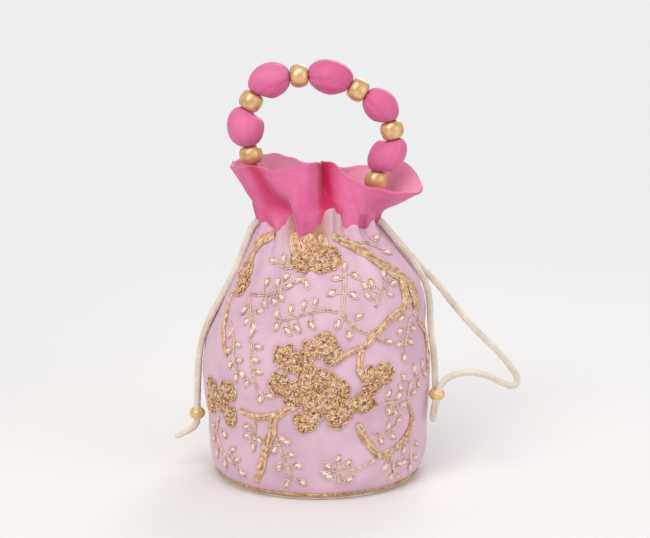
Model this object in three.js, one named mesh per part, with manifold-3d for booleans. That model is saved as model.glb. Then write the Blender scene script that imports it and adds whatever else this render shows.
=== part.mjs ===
// Potli bag: a gathered satin pouch with gold embroidery, a flared frill above the neck, a handle of
// fabric-covered balls and gold beads, and a drawstring on each side. Millimetres, +Z up, front to -Y.

import * as THREE from 'three';
import { mergeVertices } from 'three/addons/utils/BufferGeometryUtils.js';
import Module from 'manifold-3d';

const wasm = await Module();
wasm.setup();

// Gap between pieces that touch
const clearance = 0.3;

// Base panel and braid
const baseRadius = 67.4;
const baseThickness = 3;
const baseEdge = 1;
const braidHeight = 4.5;
const braidThickness = 1.8;
const braidScallop = 0.5;

// Body wall: radius at each height, from the hem to the neck
const wallThickness = 1.6;
const hemRadius = 67;
const footRadius = 70.9;
const footHeight = 16;
const flankRadius = 71.8;
const flankHeight = 38;
const bellyRadius = 74.4;
const bellyHeight = 73;
const upperRadius = 70;
const upperHeight = 98;
const shoulderRadius = 63;
const shoulderHeight = 122;
const slopeRadius = 54;
const slopeHeight = 140;
const throatRadius = 45;
const throatHeight = 154;
const neckRadius = 37;
const neckHeight = 166;

// The filled bag leans a little to its right above the belly
const leanShift = 7;
const leanHeight = 131;
const leanSpan = 44;

// Gathers at the neck
const pleatCount = 14;
const pleatDepth = 2.6;
const pleatReach = 34;
const stepsPerPleat = 4;

// Frill
const frillThickness = 1.5;
const frillPleatFade = 0.55;
const frillBulge = 2;
const frillSwellPower = 0.6;

// Handle
const waistRadius = 2.9;
const goldBeadRadius = 7.6;
const goldBeadHalfLength = 5.6;
const goldBeadHole = 3.9;
const goldBeadLip = 0.6;
const sewHeight = 6;
const beadSides = 12;
const beadArcSteps = 6;
const tubeSides = 12;
const ballSteps = 8;
const ballRoundness = 0.62;

// Drawstrings and their stopper beads
const cordDiameter = 4.2;
const cordSides = 8;
const cordStep = 11;
const stopperRadius = 5.2;
const stopperEndRadius = 4.5;
const stopperHalfHeight = 4.4;
const neckTurnSpacing = 4.8;
const neckTurnDrop = 1;
const neckTurnSteps = 24;

// Embroidery
const stitchLift = 0.4;
const branchWidth = 2.8;
const branchHeight = 1.1;
const stemWidth = 1.2;
const stemHeight = 0.8;
const budLength = 6;
const budWidth = 3.2;
const budHeight = 1.4;
const budSpread = 2.6;
const budTurn = 0.75;
const budCorners = 5;
const petalCount = 5;
const petalNotch = 0.74;
const blossomHeight = 1.6;
const stitchStep = 9;

// Folds of the frill, around from the right-hand side: outward reach of the rim, its height above
// the neck, and how far the cloth swells outwards or, below 0, tucks in between neck and rim
const frillFolds = [
  { angle: 6, reach: 67, rise: 22, swell: 0 },
  { angle: 24, reach: 60, rise: 30, swell: 2 },
  { angle: 46, reach: 44, rise: 30, swell: -2 },
  { angle: 70, reach: 25, rise: 31, swell: -3 },
  { angle: 100, reach: 38, rise: 32, swell: 2 },
  { angle: 126, reach: 45, rise: 38, swell: -2 },
  { angle: 150, reach: 50, rise: 38, swell: 2 },
  { angle: 172, reach: 54, rise: 37, swell: 0 },
  { angle: 190, reach: 55, rise: 36, swell: 0 },
  { angle: 210, reach: 46, rise: 39, swell: -1 },
  { angle: 227, reach: 41, rise: 37, swell: 4 },
  { angle: 242, reach: 34, rise: 39, swell: -3.5 },
  { angle: 257, reach: 33, rise: 42, swell: 5 },
  { angle: 269, reach: 23, rise: 41, swell: 0 },
  { angle: 281, reach: 14, rise: 40, swell: -6 },
  { angle: 298, reach: 21, rise: 40, swell: -1 },
  { angle: 316, reach: 36, rise: 29, swell: 3 },
  { angle: 334, reach: 49, rise: 23, swell: 0 },
  { angle: 350, reach: 63, rise: 20, swell: 0 },
];

// Handle seen from the front: gold beads and covered balls in turn, from the left-hand end, with
// each one's height above the neck
const handleString = [
  { across: -42.3, up: 43.6 },
  { across: -44.1, up: 60.9, ballRadius: 11.9 },
  { across: -42, up: 78.2 },
  { across: -29.3, up: 89, ballRadius: 11.4 },
  { across: -11.4, up: 94.2 },
  { across: 8.3, up: 91.7, ballRadius: 11 },
  { across: 26.1, up: 85.3 },
  { across: 37, up: 73.8, ballRadius: 10.4 },
  { across: 47.9, up: 59.6 },
  { across: 45, up: 43.2, ballRadius: 10.8 },
  { across: 38, up: 27.4 },
];

// Routes of the drawstrings, from the neck down
const leftStrandRoute = [
  [-42.2, 162], [-45.3, 154], [-48.7, 145], [-52.6, 135], [-57.7, 125], [-63.1, 115], [-68.4, 105],
  [-72.8, 95], [-75.8, 85], [-77.4, 75], [-78.1, 64], [-78.6, 53], [-79, 42.7],
];
const leftStrandApart = 2.4;
const leftStopper = [-79, 0, 38];
const leftEndRoute = [[-79.2, 0, 32.6], [-80.6, 0, 29.3], [-84, 0, 26.4], [-90, 0, 23.2], [-94.5, 0, 21.4]];
const rightShortRoute = [
  [44.9, -2.7, 162], [51.7, -2.7, 154], [59.4, -2.8, 145], [66.2, -4.2, 135], [70.9, -5.6, 125],
  [72.9, -7.1, 115], [73.4, -8.7, 105], [74, -10.4, 95], [75.4, -13, 85], [76.2, -15.6, 75],
  [76.5, -17.2, 68], [76.7, -18, 61.2],
];
const rightLoopRoute = [
  [44.9, 2.7, 162], [51.7, 2.7, 154], [59.5, 2.5, 145], [66.4, 1.5, 137.6], [73.5, 0, 130.5],
  [80, -2, 123.5], [87.5, -4, 114], [96.5, -6, 103.5], [107, -8, 92.5], [117.5, -9.5, 82.5],
  [126.5, -11, 71.6], [130.6, -11.6, 63.6], [128, -12.2, 59.6], [121.5, -13, 61.6], [111, -14.5, 67],
  [100.5, -16.5, 69.8], [90.5, -19, 69.4], [84, -21.5, 67], [80, -22.6, 62.9],
];
const rightStopper = [77.6, -20.6, 56.5];
const rightEndRoutes = {
  front: [[76.6, -22.8, 51.6], [75.6, -22.5, 46], [75, -22.2, 38.5]],
  back: [[77.6, -18.2, 51.6], [76.5, -17.8, 46], [76, -17.6, 38.5]],
};

const satinLilac = () => new THREE.MeshStandardMaterial({ color: 0xddb8cc, roughness: 0.5, metalness: 0 });
const satinPink = () => new THREE.MeshStandardMaterial({ color: 0xe0639c, roughness: 0.42, metalness: 0 });
const backingCloth = () => new THREE.MeshStandardMaterial({ color: 0xdccbc2, roughness: 0.8, metalness: 0 });
const goldThread = () => new THREE.MeshStandardMaterial({ color: 0xc8995f, roughness: 0.45, metalness: 0.3 });
const goldPearl = () => new THREE.MeshStandardMaterial({ color: 0xd7a564, roughness: 0.3, metalness: 0.55 });
const creamCord = () => new THREE.MeshStandardMaterial({ color: 0xe2d8c8, roughness: 0.75, metalness: 0 });

// Welds a geometry's shared corners, drops faces of no area and turns the faces outwards
function welded(source) {
  const bare = source.clone();
  bare.deleteAttribute('normal');
  bare.deleteAttribute('uv');
  const geometry = mergeVertices(bare, 1e-5);
  const corners = geometry.index.array;
  const faces = [];
  for (let i = 0; i < corners.length; i += 3) {
    const [a, b, c] = [corners[i], corners[i + 1], corners[i + 2]];
    if (a !== b && b !== c && c !== a) {
      faces.push(a, b, c);
    }
  }
  const points = geometry.attributes.position;
  const [p, q, r] = [new THREE.Vector3(), new THREE.Vector3(), new THREE.Vector3()];
  let volume = 0;
  for (let i = 0; i < faces.length; i += 3) {
    p.fromBufferAttribute(points, faces[i]);
    q.fromBufferAttribute(points, faces[i + 1]);
    r.fromBufferAttribute(points, faces[i + 2]);
    volume += p.dot(q.cross(r));
  }
  geometry.setIndex(volume < 0 ? faces.reverse() : faces);
  return geometry;
}

// A shape turned from a row of rings, each corner then put where place(angle, row) says.
// A row marked pole closes on one point, and a closed run ends on its first row.
function turned(rows, segments, place, closedRun = false) {
  const run = closedRun ? [...rows, rows[0]] : rows;
  const profile = run.map((row, j) => new THREE.Vector2(row.pole ? 0 : 1, j));
  const geometry = new THREE.LatheGeometry(profile, segments);
  const positions = geometry.attributes.position;
  for (let i = 0; i <= segments; i += 1) {
    const angle = (2 * Math.PI * (i % segments)) / segments;
    run.forEach((row, j) => {
      const point = place(row.pole ? 0 : angle, row);
      positions.setXYZ(i * run.length + j, point.x, point.y, point.z);
    });
  }
  return welded(geometry);
}

// Smooth value at x through rising [x, value] pairs
function smoothThrough(pairs, x) {
  const last = pairs.length - 1;
  if (x <= pairs[0][0]) {
    return pairs[0][1];
  }
  if (x >= pairs[last][0]) {
    return pairs[last][1];
  }
  const i = pairs.findIndex((pair, k) => k < last && x <= pairs[k + 1][0]);
  const slopeAt = (k) => {
    const before = pairs[Math.max(k - 1, 0)];
    const after = pairs[Math.min(k + 1, last)];
    return (after[1] - before[1]) / (after[0] - before[0]);
  };
  const span = pairs[i + 1][0] - pairs[i][0];
  const t = (x - pairs[i][0]) / span;
  const [t2, t3] = [t * t, t * t * t];
  return (2 * t3 - 3 * t2 + 1) * pairs[i][1] + (t3 - 2 * t2 + t) * span * slopeAt(i)
    + (3 * t2 - 2 * t3) * pairs[i + 1][1] + (t3 - t2) * span * slopeAt(i + 1);
}

const hemHeight = baseThickness + clearance;
const bodyProfile = [
  [hemHeight, hemRadius], [footHeight, footRadius], [flankHeight, flankRadius], [bellyHeight, bellyRadius],
  [upperHeight, upperRadius], [shoulderHeight, shoulderRadius], [slopeHeight, slopeRadius],
  [throatHeight, throatRadius], [neckHeight, neckRadius],
];

const bodyRadius = (height) => smoothThrough(bodyProfile, height);

function bodyLean(height) {
  const u = (height - leanHeight) / leanSpan;
  return Math.abs(u) < 1 ? leanShift * Math.cos((Math.PI * u) / 2) ** 2 : 0;
}

function bodyGather(angle, height) {
  const rise = Math.max(0, (height - neckHeight + pleatReach) / pleatReach);
  return pleatDepth * rise ** 1.5 * Math.cos(pleatCount * angle);
}

// Point of the body's outer face, or inset from it towards the axis
function bodyPoint(angle, height, inset = 0) {
  const reach = bodyRadius(height) + bodyGather(angle, height) - inset;
  return new THREE.Vector3(
    bodyLean(height) + reach * Math.cos(angle),
    reach * Math.sin(angle),
    height,
  );
}

const roundSegments = pleatCount * stepsPerPleat;

function bodyWall() {
  const stations = bodyProfile.map(([height]) => height);
  const middles = stations.slice(1).map((height, i) => (height + stations[i]) / 2);
  const outerHeights = [...stations, ...middles.filter((height) => height > flankHeight)].sort((a, b) => a - b);
  const rows = [
    ...outerHeights.map((height) => ({ height, inset: 0 })),
    ...stations.reverse().map((height) => ({ height, inset: wallThickness })),
  ];
  return turned(rows, roundSegments, (angle, row) => bodyPoint(angle, row.height, row.inset), true);
}

function basePanel() {
  const profile = [
    new THREE.Vector2(0, 0),
    new THREE.Vector2(baseRadius - baseEdge, 0),
    new THREE.Vector2(baseRadius, baseEdge),
    new THREE.Vector2(baseRadius, baseThickness),
    new THREE.Vector2(0, baseThickness),
  ];
  return welded(new THREE.LatheGeometry(profile, roundSegments).rotateX(Math.PI / 2));
}

// Braid around the hem: its inner face follows the wall and its outer face is scalloped
function baseBraid() {
  const low = hemHeight + clearance;
  const rows = [
    { height: low, stand: 0 },
    { height: low, stand: 0.7 },
    { height: low + braidHeight / 2, stand: 1 },
    { height: low + braidHeight, stand: 0.7 },
    { height: low + braidHeight, stand: 0 },
  ];
  const place = (angle, row) => {
    const scallop = braidScallop * Math.cos((roundSegments / 2) * angle);
    const outward = clearance * 1.5 + row.stand * (braidThickness + scallop);
    return bodyPoint(angle, row.height, -outward);
  };
  return turned(rows, roundSegments, place, true);
}

// Reach, rise or swell of the frill, smooth all the way around
function frillRim(angle, key) {
  const degrees = ((THREE.MathUtils.radToDeg(angle) % 360) + 360) % 360;
  const turn = (fold, by) => [fold.angle + by, fold[key]];
  const pairs = [
    ...frillFolds.slice(-2).map((fold) => turn(fold, -360)),
    ...frillFolds.map((fold) => turn(fold, 0)),
    ...frillFolds.slice(0, 2).map((fold) => turn(fold, 360)),
  ];
  return smoothThrough(pairs, degrees);
}

const frillFoot = neckHeight + clearance;

// Point of the frill's middle face: part runs from 0 at the neck to 1 at the rim
function frillMiddle(angle, part) {
  const gather = pleatDepth * Math.max(0, 1 - part / frillPleatFade) ** 2 * Math.cos(pleatCount * angle);
  const foot = neckRadius - wallThickness / 2;
  const bulge = frillBulge * Math.sin(Math.PI * part);
  const swell = frillRim(angle, 'swell') * Math.max(0, Math.sin(Math.PI * Math.max(0, part) ** frillSwellPower));
  const reach = foot + (frillRim(angle, 'reach') - foot) * part - bulge + swell + gather;
  const height = frillFoot + frillRim(angle, 'rise') * part;
  return new THREE.Vector3(reach * Math.cos(angle), reach * Math.sin(angle), height);
}

// Direction out of the frill's outer face
function frillNormal(angle, part) {
  const step = 0.01;
  const around = frillMiddle(angle + step, part).sub(frillMiddle(angle - step, part));
  const upward = frillMiddle(angle, part + step).sub(frillMiddle(angle, part - step));
  return around.cross(upward).normalize();
}

// Point of the frill's outer face where side is 1, and of its inner face where it is -1.
// The foot stays level, so that it sits on the top of the neck.
function frillPoint(angle, part, side) {
  const normal = frillNormal(angle, part);
  if (part === 0) {
    normal.setZ(0).normalize();
  }
  return frillMiddle(angle, part).addScaledVector(normal, (side * frillThickness) / 2);
}

function frillCloth() {
  const parts = [0, 0.16, 0.36, 0.58, 0.8, 1];
  const rows = [
    ...parts.map((part) => ({ part, side: 1 })),
    ...[...parts].reverse().map((part) => ({ part, side: -1 })),
  ];
  return turned(rows, roundSegments, (angle, row) => frillPoint(angle, row.part, row.side), true);
}

// Where a handle end is sewn to the frill's inner face, and the tube's middle beside it
function handleSeat(angle) {
  const part = sewHeight / frillRim(angle, 'rise');
  const inward = frillNormal(angle, part).negate();
  const away = frillThickness / 2 + clearance + waistRadius;
  return frillMiddle(angle, part).addScaledVector(inward, away).setY(0);
}

const stringPoints = handleString.map((knot) => new THREE.Vector3(knot.across, 0, neckHeight + knot.up));
const leftSeat = handleSeat(Math.PI);
const rightSeat = handleSeat(0);

// Direction of the string through one of its pieces
function stringDirection(i) {
  const before = stringPoints[i - 1] ?? leftSeat;
  const after = stringPoints[i + 1] ?? rightSeat;
  return after.clone().sub(before).normalize();
}

const beadFace = (i, side) => stringPoints[i].clone()
  .addScaledVector(stringDirection(i), side * (goldBeadHalfLength + clearance));

// Rings of one covered ball, between the faces of the gold beads on its two sides
function ballRings(i) {
  const start = beadFace(i - 1, 1);
  const end = beadFace(i + 1, -1);
  const third = start.distanceTo(end) / 3;
  const arc = new THREE.CubicBezierCurve3(
    start,
    start.clone().addScaledVector(stringDirection(i - 1), third),
    end.clone().addScaledVector(stringDirection(i + 1), -third),
    end,
  );
  return Array.from({ length: ballSteps + 1 }, (unused, k) => {
    const along = -Math.cos((Math.PI * k) / ballSteps);
    const swell = Math.max(0, 1 - along * along) ** ballRoundness;
    const t = (along + 1) / 2;
    return {
      centre: arc.getPoint(t),
      direction: arc.getTangent(t),
      radius: waistRadius + (handleString[i].ballRadius - waistRadius) * swell,
    };
  });
}

// The fabric tube: its sewn ends, the waists inside the gold beads and the covered balls
function handleTube() {
  const last = handleString.length - 1;
  const leftFace = beadFace(0, -1);
  const rightFace = beadFace(last, 1);
  const waist = (centre, direction) => ({ centre, direction, radius: waistRadius });
  const balls = handleString.flatMap((knot, i) => (knot.ballRadius ? ballRings(i) : []));
  const leftWay = leftFace.clone().sub(leftSeat).normalize();
  const rightWay = rightSeat.clone().sub(rightFace).normalize();
  const rings = [
    waist(leftSeat, leftWay),
    waist(leftFace, stringDirection(0)),
    ...balls,
    waist(rightFace, stringDirection(last)),
    waist(rightSeat, rightWay),
  ];
  const rows = [
    { ...rings[0], pole: true, centre: leftSeat.clone().addScaledVector(leftWay, -waistRadius / 2) },
    ...rings,
    { ...rings[rings.length - 1], pole: true, centre: rightSeat.clone().addScaledVector(rightWay, waistRadius / 2) },
  ];
  const sideways = new THREE.Vector3(0, 1, 0);
  const place = (angle, row) => {
    const outward = new THREE.Vector3().crossVectors(sideways, row.direction).normalize();
    const reach = row.pole ? 0 : row.radius;
    return row.centre.clone()
      .addScaledVector(outward, reach * Math.cos(angle))
      .addScaledVector(sideways, reach * Math.sin(angle));
  };
  return turned(rows, tubeSides, place);
}

// A gold bead, bored through and rounded, along the Y axis
function goldBead() {
  const lipRadius = goldBeadHole + goldBeadLip;
  const profile = [new THREE.Vector2(goldBeadHole, -goldBeadHalfLength)];
  for (let k = 0; k <= beadArcSteps; k += 1) {
    const turn = -Math.PI / 2 + (Math.PI * k) / beadArcSteps;
    profile.push(new THREE.Vector2(
      lipRadius + (goldBeadRadius - lipRadius) * Math.cos(turn),
      goldBeadHalfLength * Math.sin(turn),
    ));
  }
  profile.push(new THREE.Vector2(goldBeadHole, goldBeadHalfLength));
  profile.push(profile[0].clone());
  return welded(new THREE.LatheGeometry(profile, beadSides));
}

// A stopper bead, a small barrel standing along Z
function stopperBead() {
  const profile = [
    new THREE.Vector2(0, -stopperHalfHeight),
    new THREE.Vector2(stopperEndRadius, -stopperHalfHeight),
    new THREE.Vector2(stopperRadius, -stopperHalfHeight / 3),
    new THREE.Vector2(stopperRadius, stopperHalfHeight / 3),
    new THREE.Vector2(stopperEndRadius, stopperHalfHeight),
    new THREE.Vector2(0, stopperHalfHeight),
  ];
  return welded(new THREE.LatheGeometry(profile, beadSides).rotateX(Math.PI / 2));
}

// A cord along a smooth curve through its route
function cord(route) {
  const curve = new THREE.CatmullRomCurve3(route.map((point) => new THREE.Vector3(...point)));
  const section = new THREE.Shape(Array.from({ length: cordSides }, (unused, k) => {
    const turn = (2 * Math.PI * k) / cordSides;
    return new THREE.Vector2(Math.cos(turn), Math.sin(turn)).multiplyScalar(cordDiameter / 2);
  }));
  const steps = Math.max(3, Math.round(curve.getLength() / cordStep));
  return welded(new THREE.ExtrudeGeometry(section, { steps, bevelEnabled: false, extrudePath: curve }));
}

// One turn of a drawstring around the inside of the gathered neck
function neckTurn(height) {
  const radius = bodyRadius(height) - pleatDepth - wallThickness - clearance - cordDiameter / 2;
  const ring = new THREE.TorusGeometry(radius, cordDiameter / 2, cordSides, neckTurnSteps);
  return welded(ring.translate(bodyLean(height), 0, height));
}

// Point on the embroidered cloth: across and up as seen from the front, side -1 front and 1 back
function clothAngle(across, up, side) {
  const share = THREE.MathUtils.clamp((across - bodyLean(up)) / bodyRadius(up), -0.999, 0.999);
  return side < 0 ? -Math.PI / 2 + Math.asin(share) : Math.PI / 2 - Math.asin(share);
}

// Point a given lift off the body's outer face, square to it
function overCloth(angle, height, lift) {
  const step = 0.5;
  const turn = step / bodyRadius(height);
  const around = bodyPoint(angle + turn, height).sub(bodyPoint(angle - turn, height));
  const upward = bodyPoint(angle, height + step).sub(bodyPoint(angle, height - step));
  const normal = around.cross(upward).normalize();
  return bodyPoint(angle, height).addScaledVector(normal, stitchLift + lift);
}

const asSolid = (geometry) => new wasm.Manifold(new wasm.Mesh({
  numProp: 3,
  vertProperties: new Float32Array(geometry.attributes.position.array),
  triVerts: new Uint32Array(geometry.index.array),
}));

function asGeometry(solid) {
  const mesh = solid.getMesh();
  const geometry = new THREE.BufferGeometry();
  geometry.setAttribute('position', new THREE.BufferAttribute(mesh.vertProperties, 3));
  geometry.setIndex(new THREE.BufferAttribute(mesh.triVerts, 1));
  return geometry;
}

// A run of stitching along a line of [across, up] points, three-sided with its flat side on the cloth
function stitchedLine(points, side, width, height) {
  const line = clothLine(points, side);
  const steps = Math.ceil(line.getLength() / stitchStep);
  const run = new THREE.CylinderGeometry(1, 1, 1, 3, steps);
  const positions = run.attributes.position;
  for (let i = 0; i < positions.count; i += 1) {
    const { angle, up, way } = alongLine(line, positions.getY(i) + 0.5);
    const ridge = positions.getZ(i) > 0.9;
    const reach = ridge ? 0 : Math.sign(positions.getX(i)) * (width / 2);
    const lift = ridge ? height : 0;
    const point = overCloth(angle - (way.y * reach) / bodyRadius(up), up + way.x * reach, lift);
    positions.setXYZ(i, point.x, point.y, point.z);
  }
  return asSolid(welded(run));
}

// The same line as a smooth curve of angle and height
function clothLine(points, side) {
  return new THREE.CatmullRomCurve3(
    points.map(([across, up]) => new THREE.Vector3(clothAngle(across, up, side) * bellyRadius, up, 0)),
  );
}

// Place and heading on the cloth at a share of a line's length
function alongLine(line, share) {
  const here = line.getPoint(share);
  const way = line.getTangent(share);
  const radius = bodyRadius(here.y);
  const heading = new THREE.Vector2((way.x * radius) / bellyRadius, way.y).normalize();
  return { angle: here.x / bellyRadius, up: here.y, way: heading };
}

// A mound of stitching on the cloth whose outline is given by outline(turn)
function stitchedMound(middle, up, corners, height, outline) {
  const rows = [{ pole: true, lift: 0 }, { pole: false, lift: 0 }, { pole: true, lift: height }];
  const place = (turn, row) => {
    const { x, y } = row.pole ? { x: 0, y: 0 } : outline(turn);
    return overCloth(middle + x / bodyRadius(up), up + y, row.lift);
  };
  return asSolid(turned(rows, corners, place));
}

const blossom = (angle, up, radius) => stitchedMound(angle, up, petalCount * 2, blossomHeight,
  (turn) => {
    const petal = Math.cos(petalCount * turn) > 0 ? 1 : petalNotch;
    return new THREE.Vector2(Math.cos(turn), Math.sin(turn)).multiplyScalar(radius * petal);
  });

const bud = (angle, up, lean) => stitchedMound(angle, up, budCorners, budHeight,
  (turn) => new THREE.Vector2((budWidth / 2) * Math.cos(turn), (budLength / 2) * Math.sin(turn))
    .rotateAround(new THREE.Vector2(), lean));

// Buds on both sides of a sprig's stem, the last two at its tip
function sprigBuds(points, side, pairs) {
  const line = clothLine(points, side);
  const buds = [];
  for (let k = 1; k <= pairs; k += 1) {
    const { angle, up, way } = alongLine(line, k / pairs);
    const heading = Math.atan2(way.y, way.x) - Math.PI / 2;
    for (const hand of [-1, 1]) {
      const lean = heading + hand * budTurn;
      buds.push(bud(angle - (Math.sin(lean) * budSpread) / bodyRadius(up), up + Math.cos(lean) * budSpread, lean));
    }
  }
  return buds;
}

// Joins the stitching of one connected run into a single piece
function embroidered({ side, branches = [], stems = [], sprigs = [], blossoms = [], patches = [] }) {
  const solids = [
    ...branches.map((points) => stitchedLine(points, side, branchWidth, branchHeight)),
    ...stems.map((points) => stitchedLine(points, side, stemWidth, stemHeight)),
    ...sprigs.map(({ points }) => stitchedLine(points, side, stemWidth, stemHeight)),
    ...sprigs.flatMap(({ points, pairs }) => sprigBuds(points, side, pairs)),
    ...blossoms.map(([across, up, radius]) => blossom(clothAngle(across, up, side), up, radius)),
    ...patches.map(({ points, width }) => stitchedLine(points, side, width, branchHeight)),
  ];
  return asGeometry(solids.reduce((joined, solid) => joined.add(solid)));
}

const front = -1;
const back = 1;

// Runs of embroidery: [across, up] seen from the front, and a blossom's radius
const embroideryRuns = {
  vine_right_shoulder: {
    side: front,
    branches: [
      [[24, 153], [36, 148], [48, 140], [57, 131], [62, 122]],
      [[56, 121], [43, 112], [33, 104], [28, 94], [27, 84], [33, 78]],
      [[31, 101], [20, 96]],
    ],
    patches: [{ points: [[58, 128], [60, 118], [66, 112]], width: 9 }],
    sprigs: [
      { points: [[26, 152], [19, 143], [17, 131], [16, 121]], pairs: 3 },
      { points: [[43, 112], [38, 124], [41, 135]], pairs: 2 },
      { points: [[33, 104], [23, 112], [17, 119]], pairs: 2 },
    ],
    blossoms: [[35, 78, 7.5], [34, 62, 7]],
    stems: [[[35, 78], [34, 62]], [[34, 62], [44, 62]]],
  },
  blossoms_centre: {
    side: front,
    blossoms: [
      [-20, 92, 8.5], [2, 100, 8.5], [-22, 77, 7.5], [-9, 84, 7], [13, 77, 8], [-7, 70, 7.5], [1, 88, 7],
      [-5, 53, 8], [14, 57, 8],
    ],
    stems: [[[-20, 92], [-22, 77], [-7, 70], [-5, 53]], [[2, 100], [1, 88], [-9, 84], [-7, 70], [14, 57]],
      [[13, 77], [1, 88]], [[-20, 92], [-9, 84]]],
  },
  vine_left: {
    side: front,
    branches: [[[-33, 152], [-40, 143], [-46, 132]], [[-47, 132], [-54, 121], [-58, 104], [-56, 86]]],
    blossoms: [[-47, 132, 7.5]],
    sprigs: [
      { points: [[-46.6, 130.5], [-33, 127.5], [-22, 131]], pairs: 2 },
      { points: [[-41, 130], [-41, 121], [-39, 113]], pairs: 1 },
      { points: [[-33, 128], [-24, 120], [-8, 118], [6, 120]], pairs: 3 },
      { points: [[-58, 104], [-43, 98], [-40, 84], [-37, 72]], pairs: 3 },
    ],
  },
  vine_lower_left: {
    side: front,
    branches: [[[-20, 61], [-26, 55], [-29, 42], [-34, 27], [-37, 12]], [[-26, 56], [-38, 55], [-48, 56]]],
    blossoms: [[-54, 62, 7.5], [-66, 56, 6.5], [-59, 47, 6]],
    stems: [[[-54, 62], [-66, 56], [-59, 47]], [[-48, 56], [-54, 62]]],
    sprigs: [
      { points: [[-28, 44], [-21, 31], [-15, 18]], pairs: 3 },
      { points: [[-40, 55], [-40, 46], [-42, 38]], pairs: 1 },
      { points: [[-59, 47], [-62, 34], [-56, 22]], pairs: 2 },
    ],
  },
  vine_lower_right: {
    side: front,
    branches: [[[26, 48], [32, 37], [38, 27], [44, 22]], [[38, 27], [51, 30], [58, 38], [59, 52]]],
    sprigs: [
      { points: [[59, 50], [54, 62], [59, 73], [68, 76]], pairs: 3 },
      { points: [[42, 23], [47, 18], [49, 14]], pairs: 1 },
      { points: [[51, 30], [58, 24], [62, 17]], pairs: 1 },
      { points: [[30, 40], [42, 43], [50, 45]], pairs: 1 },
      { points: [[38, 27], [25, 22], [15, 18], [6, 19]], pairs: 3 },
    ],
  },
  vine_right_edge: {
    side: front,
    branches: [[[67, 104], [71, 90], [71.5, 82]]],
    sprigs: [{ points: [[67, 104], [56, 102], [48, 94]], pairs: 2 }],
  },
  blossom_neck: { side: front, blossoms: [[1, 149, 8]], sprigs: [{ points: [[1, 149], [1, 139]], pairs: 1 }] },
  vine_back_left: {
    side: back,
    branches: [
      [[-26, 150], [-36, 143], [-44, 133], [-51, 118], [-56, 98]],
      [[-51, 118], [-42, 106], [-34, 90], [-38, 72], [-30, 54], [-34, 32], [-28, 14]],
    ],
    blossoms: [[-57, 95, 7.5], [-36, 88, 8], [-20, 96, 7.5], [-50, 60, 7.5]],
    stems: [[[-36, 88], [-20, 96]], [[-36, 70], [-50, 60]]],
    sprigs: [
      { points: [[-30, 147], [-20, 140], [-10, 128]], pairs: 2 },
      { points: [[-42, 106], [-26, 114], [-12, 112]], pairs: 2 },
      { points: [[-50, 60], [-60, 46], [-58, 30]], pairs: 2 },
      { points: [[-30, 54], [-16, 44], [-10, 28]], pairs: 2 },
    ],
  },
  vine_back_right: {
    side: back,
    branches: [
      [[27, 150], [39, 143], [50, 134], [57, 119]],
      [[50, 134], [38, 122], [26, 106], [24, 84], [34, 64], [28, 42], [34, 16]],
    ],
    blossoms: [[58, 116, 7.5], [24, 84, 8], [8, 78, 7.5], [10, 94, 7.5], [52, 70, 7.5]],
    stems: [[[24, 84], [8, 78]], [[24, 84], [10, 94]], [[34, 64], [52, 70]]],
    sprigs: [
      { points: [[32, 147], [22, 140], [12, 128]], pairs: 2 },
      { points: [[38, 122], [44, 104], [56, 92]], pairs: 2 },
      { points: [[30, 52], [14, 54], [0, 60]], pairs: 2 },
      { points: [[29, 38], [44, 34], [58, 40]], pairs: 2 },
    ],
  },
};

const potliBag = new THREE.Group();

function addPiece(name, geometry, material) {
  const piece = new THREE.Mesh(geometry, material);
  piece.name = name;
  potliBag.add(piece);
  return piece;
}

function addBag() {
  addPiece('base_panel', basePanel(), backingCloth());
  addPiece('base_trim', baseBraid(), goldThread());
  addPiece('bag_body', bodyWall(), satinLilac());
  addPiece('frill', frillCloth(), satinPink());
}

function addEmbroidery() {
  for (const [name, run] of Object.entries(embroideryRuns)) {
    addPiece(name, embroidered(run), goldThread());
  }
}

function addHandle() {
  addPiece('handle_fabric', handleTube(), satinPink());
  handleString.forEach((knot, i) => {
    if (!knot.ballRadius) {
      const bead = addPiece(`gold_bead_${i / 2 + 1}`, goldBead(), goldPearl());
      bead.position.copy(stringPoints[i]);
      bead.quaternion.setFromUnitVectors(new THREE.Vector3(0, 1, 0), stringDirection(i));
    }
  });
}

function addDrawstrings() {
  const upperTurn = neckHeight - neckTurnDrop - cordDiameter / 2;
  addPiece('left_neck_turn', neckTurn(upperTurn), creamCord());
  addPiece('right_neck_turn', neckTurn(upperTurn - neckTurnSpacing), creamCord());
  const leftStrand = (apart) => cord(leftStrandRoute.map(([x, z]) => [x, apart, z]));
  addPiece('left_strand_front', leftStrand(-leftStrandApart), creamCord());
  addPiece('left_strand_back', leftStrand(leftStrandApart), creamCord());
  addPiece('left_cord_end', cord(leftEndRoute), creamCord());
  addPiece('right_strand_short', cord(rightShortRoute), creamCord());
  addPiece('right_strand_loop', cord(rightLoopRoute), creamCord());
  addPiece('right_cord_end_front', cord(rightEndRoutes.front), creamCord());
  addPiece('right_cord_end_back', cord(rightEndRoutes.back), creamCord());
  addPiece('left_stopper_bead', stopperBead(), goldPearl()).position.set(...leftStopper);
  addPiece('right_stopper_bead', stopperBead(), goldPearl()).position.set(...rightStopper);
}

addBag();
addEmbroidery();
addHandle();
addDrawstrings();

export default potliBag;
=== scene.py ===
import logging
import math
import random
from dataclasses import dataclass, field
from enum import Enum
from typing import Iterable, Optional, Sequence

import bmesh
import bpy
import numpy as np
from mathutils import Matrix, Vector


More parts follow.
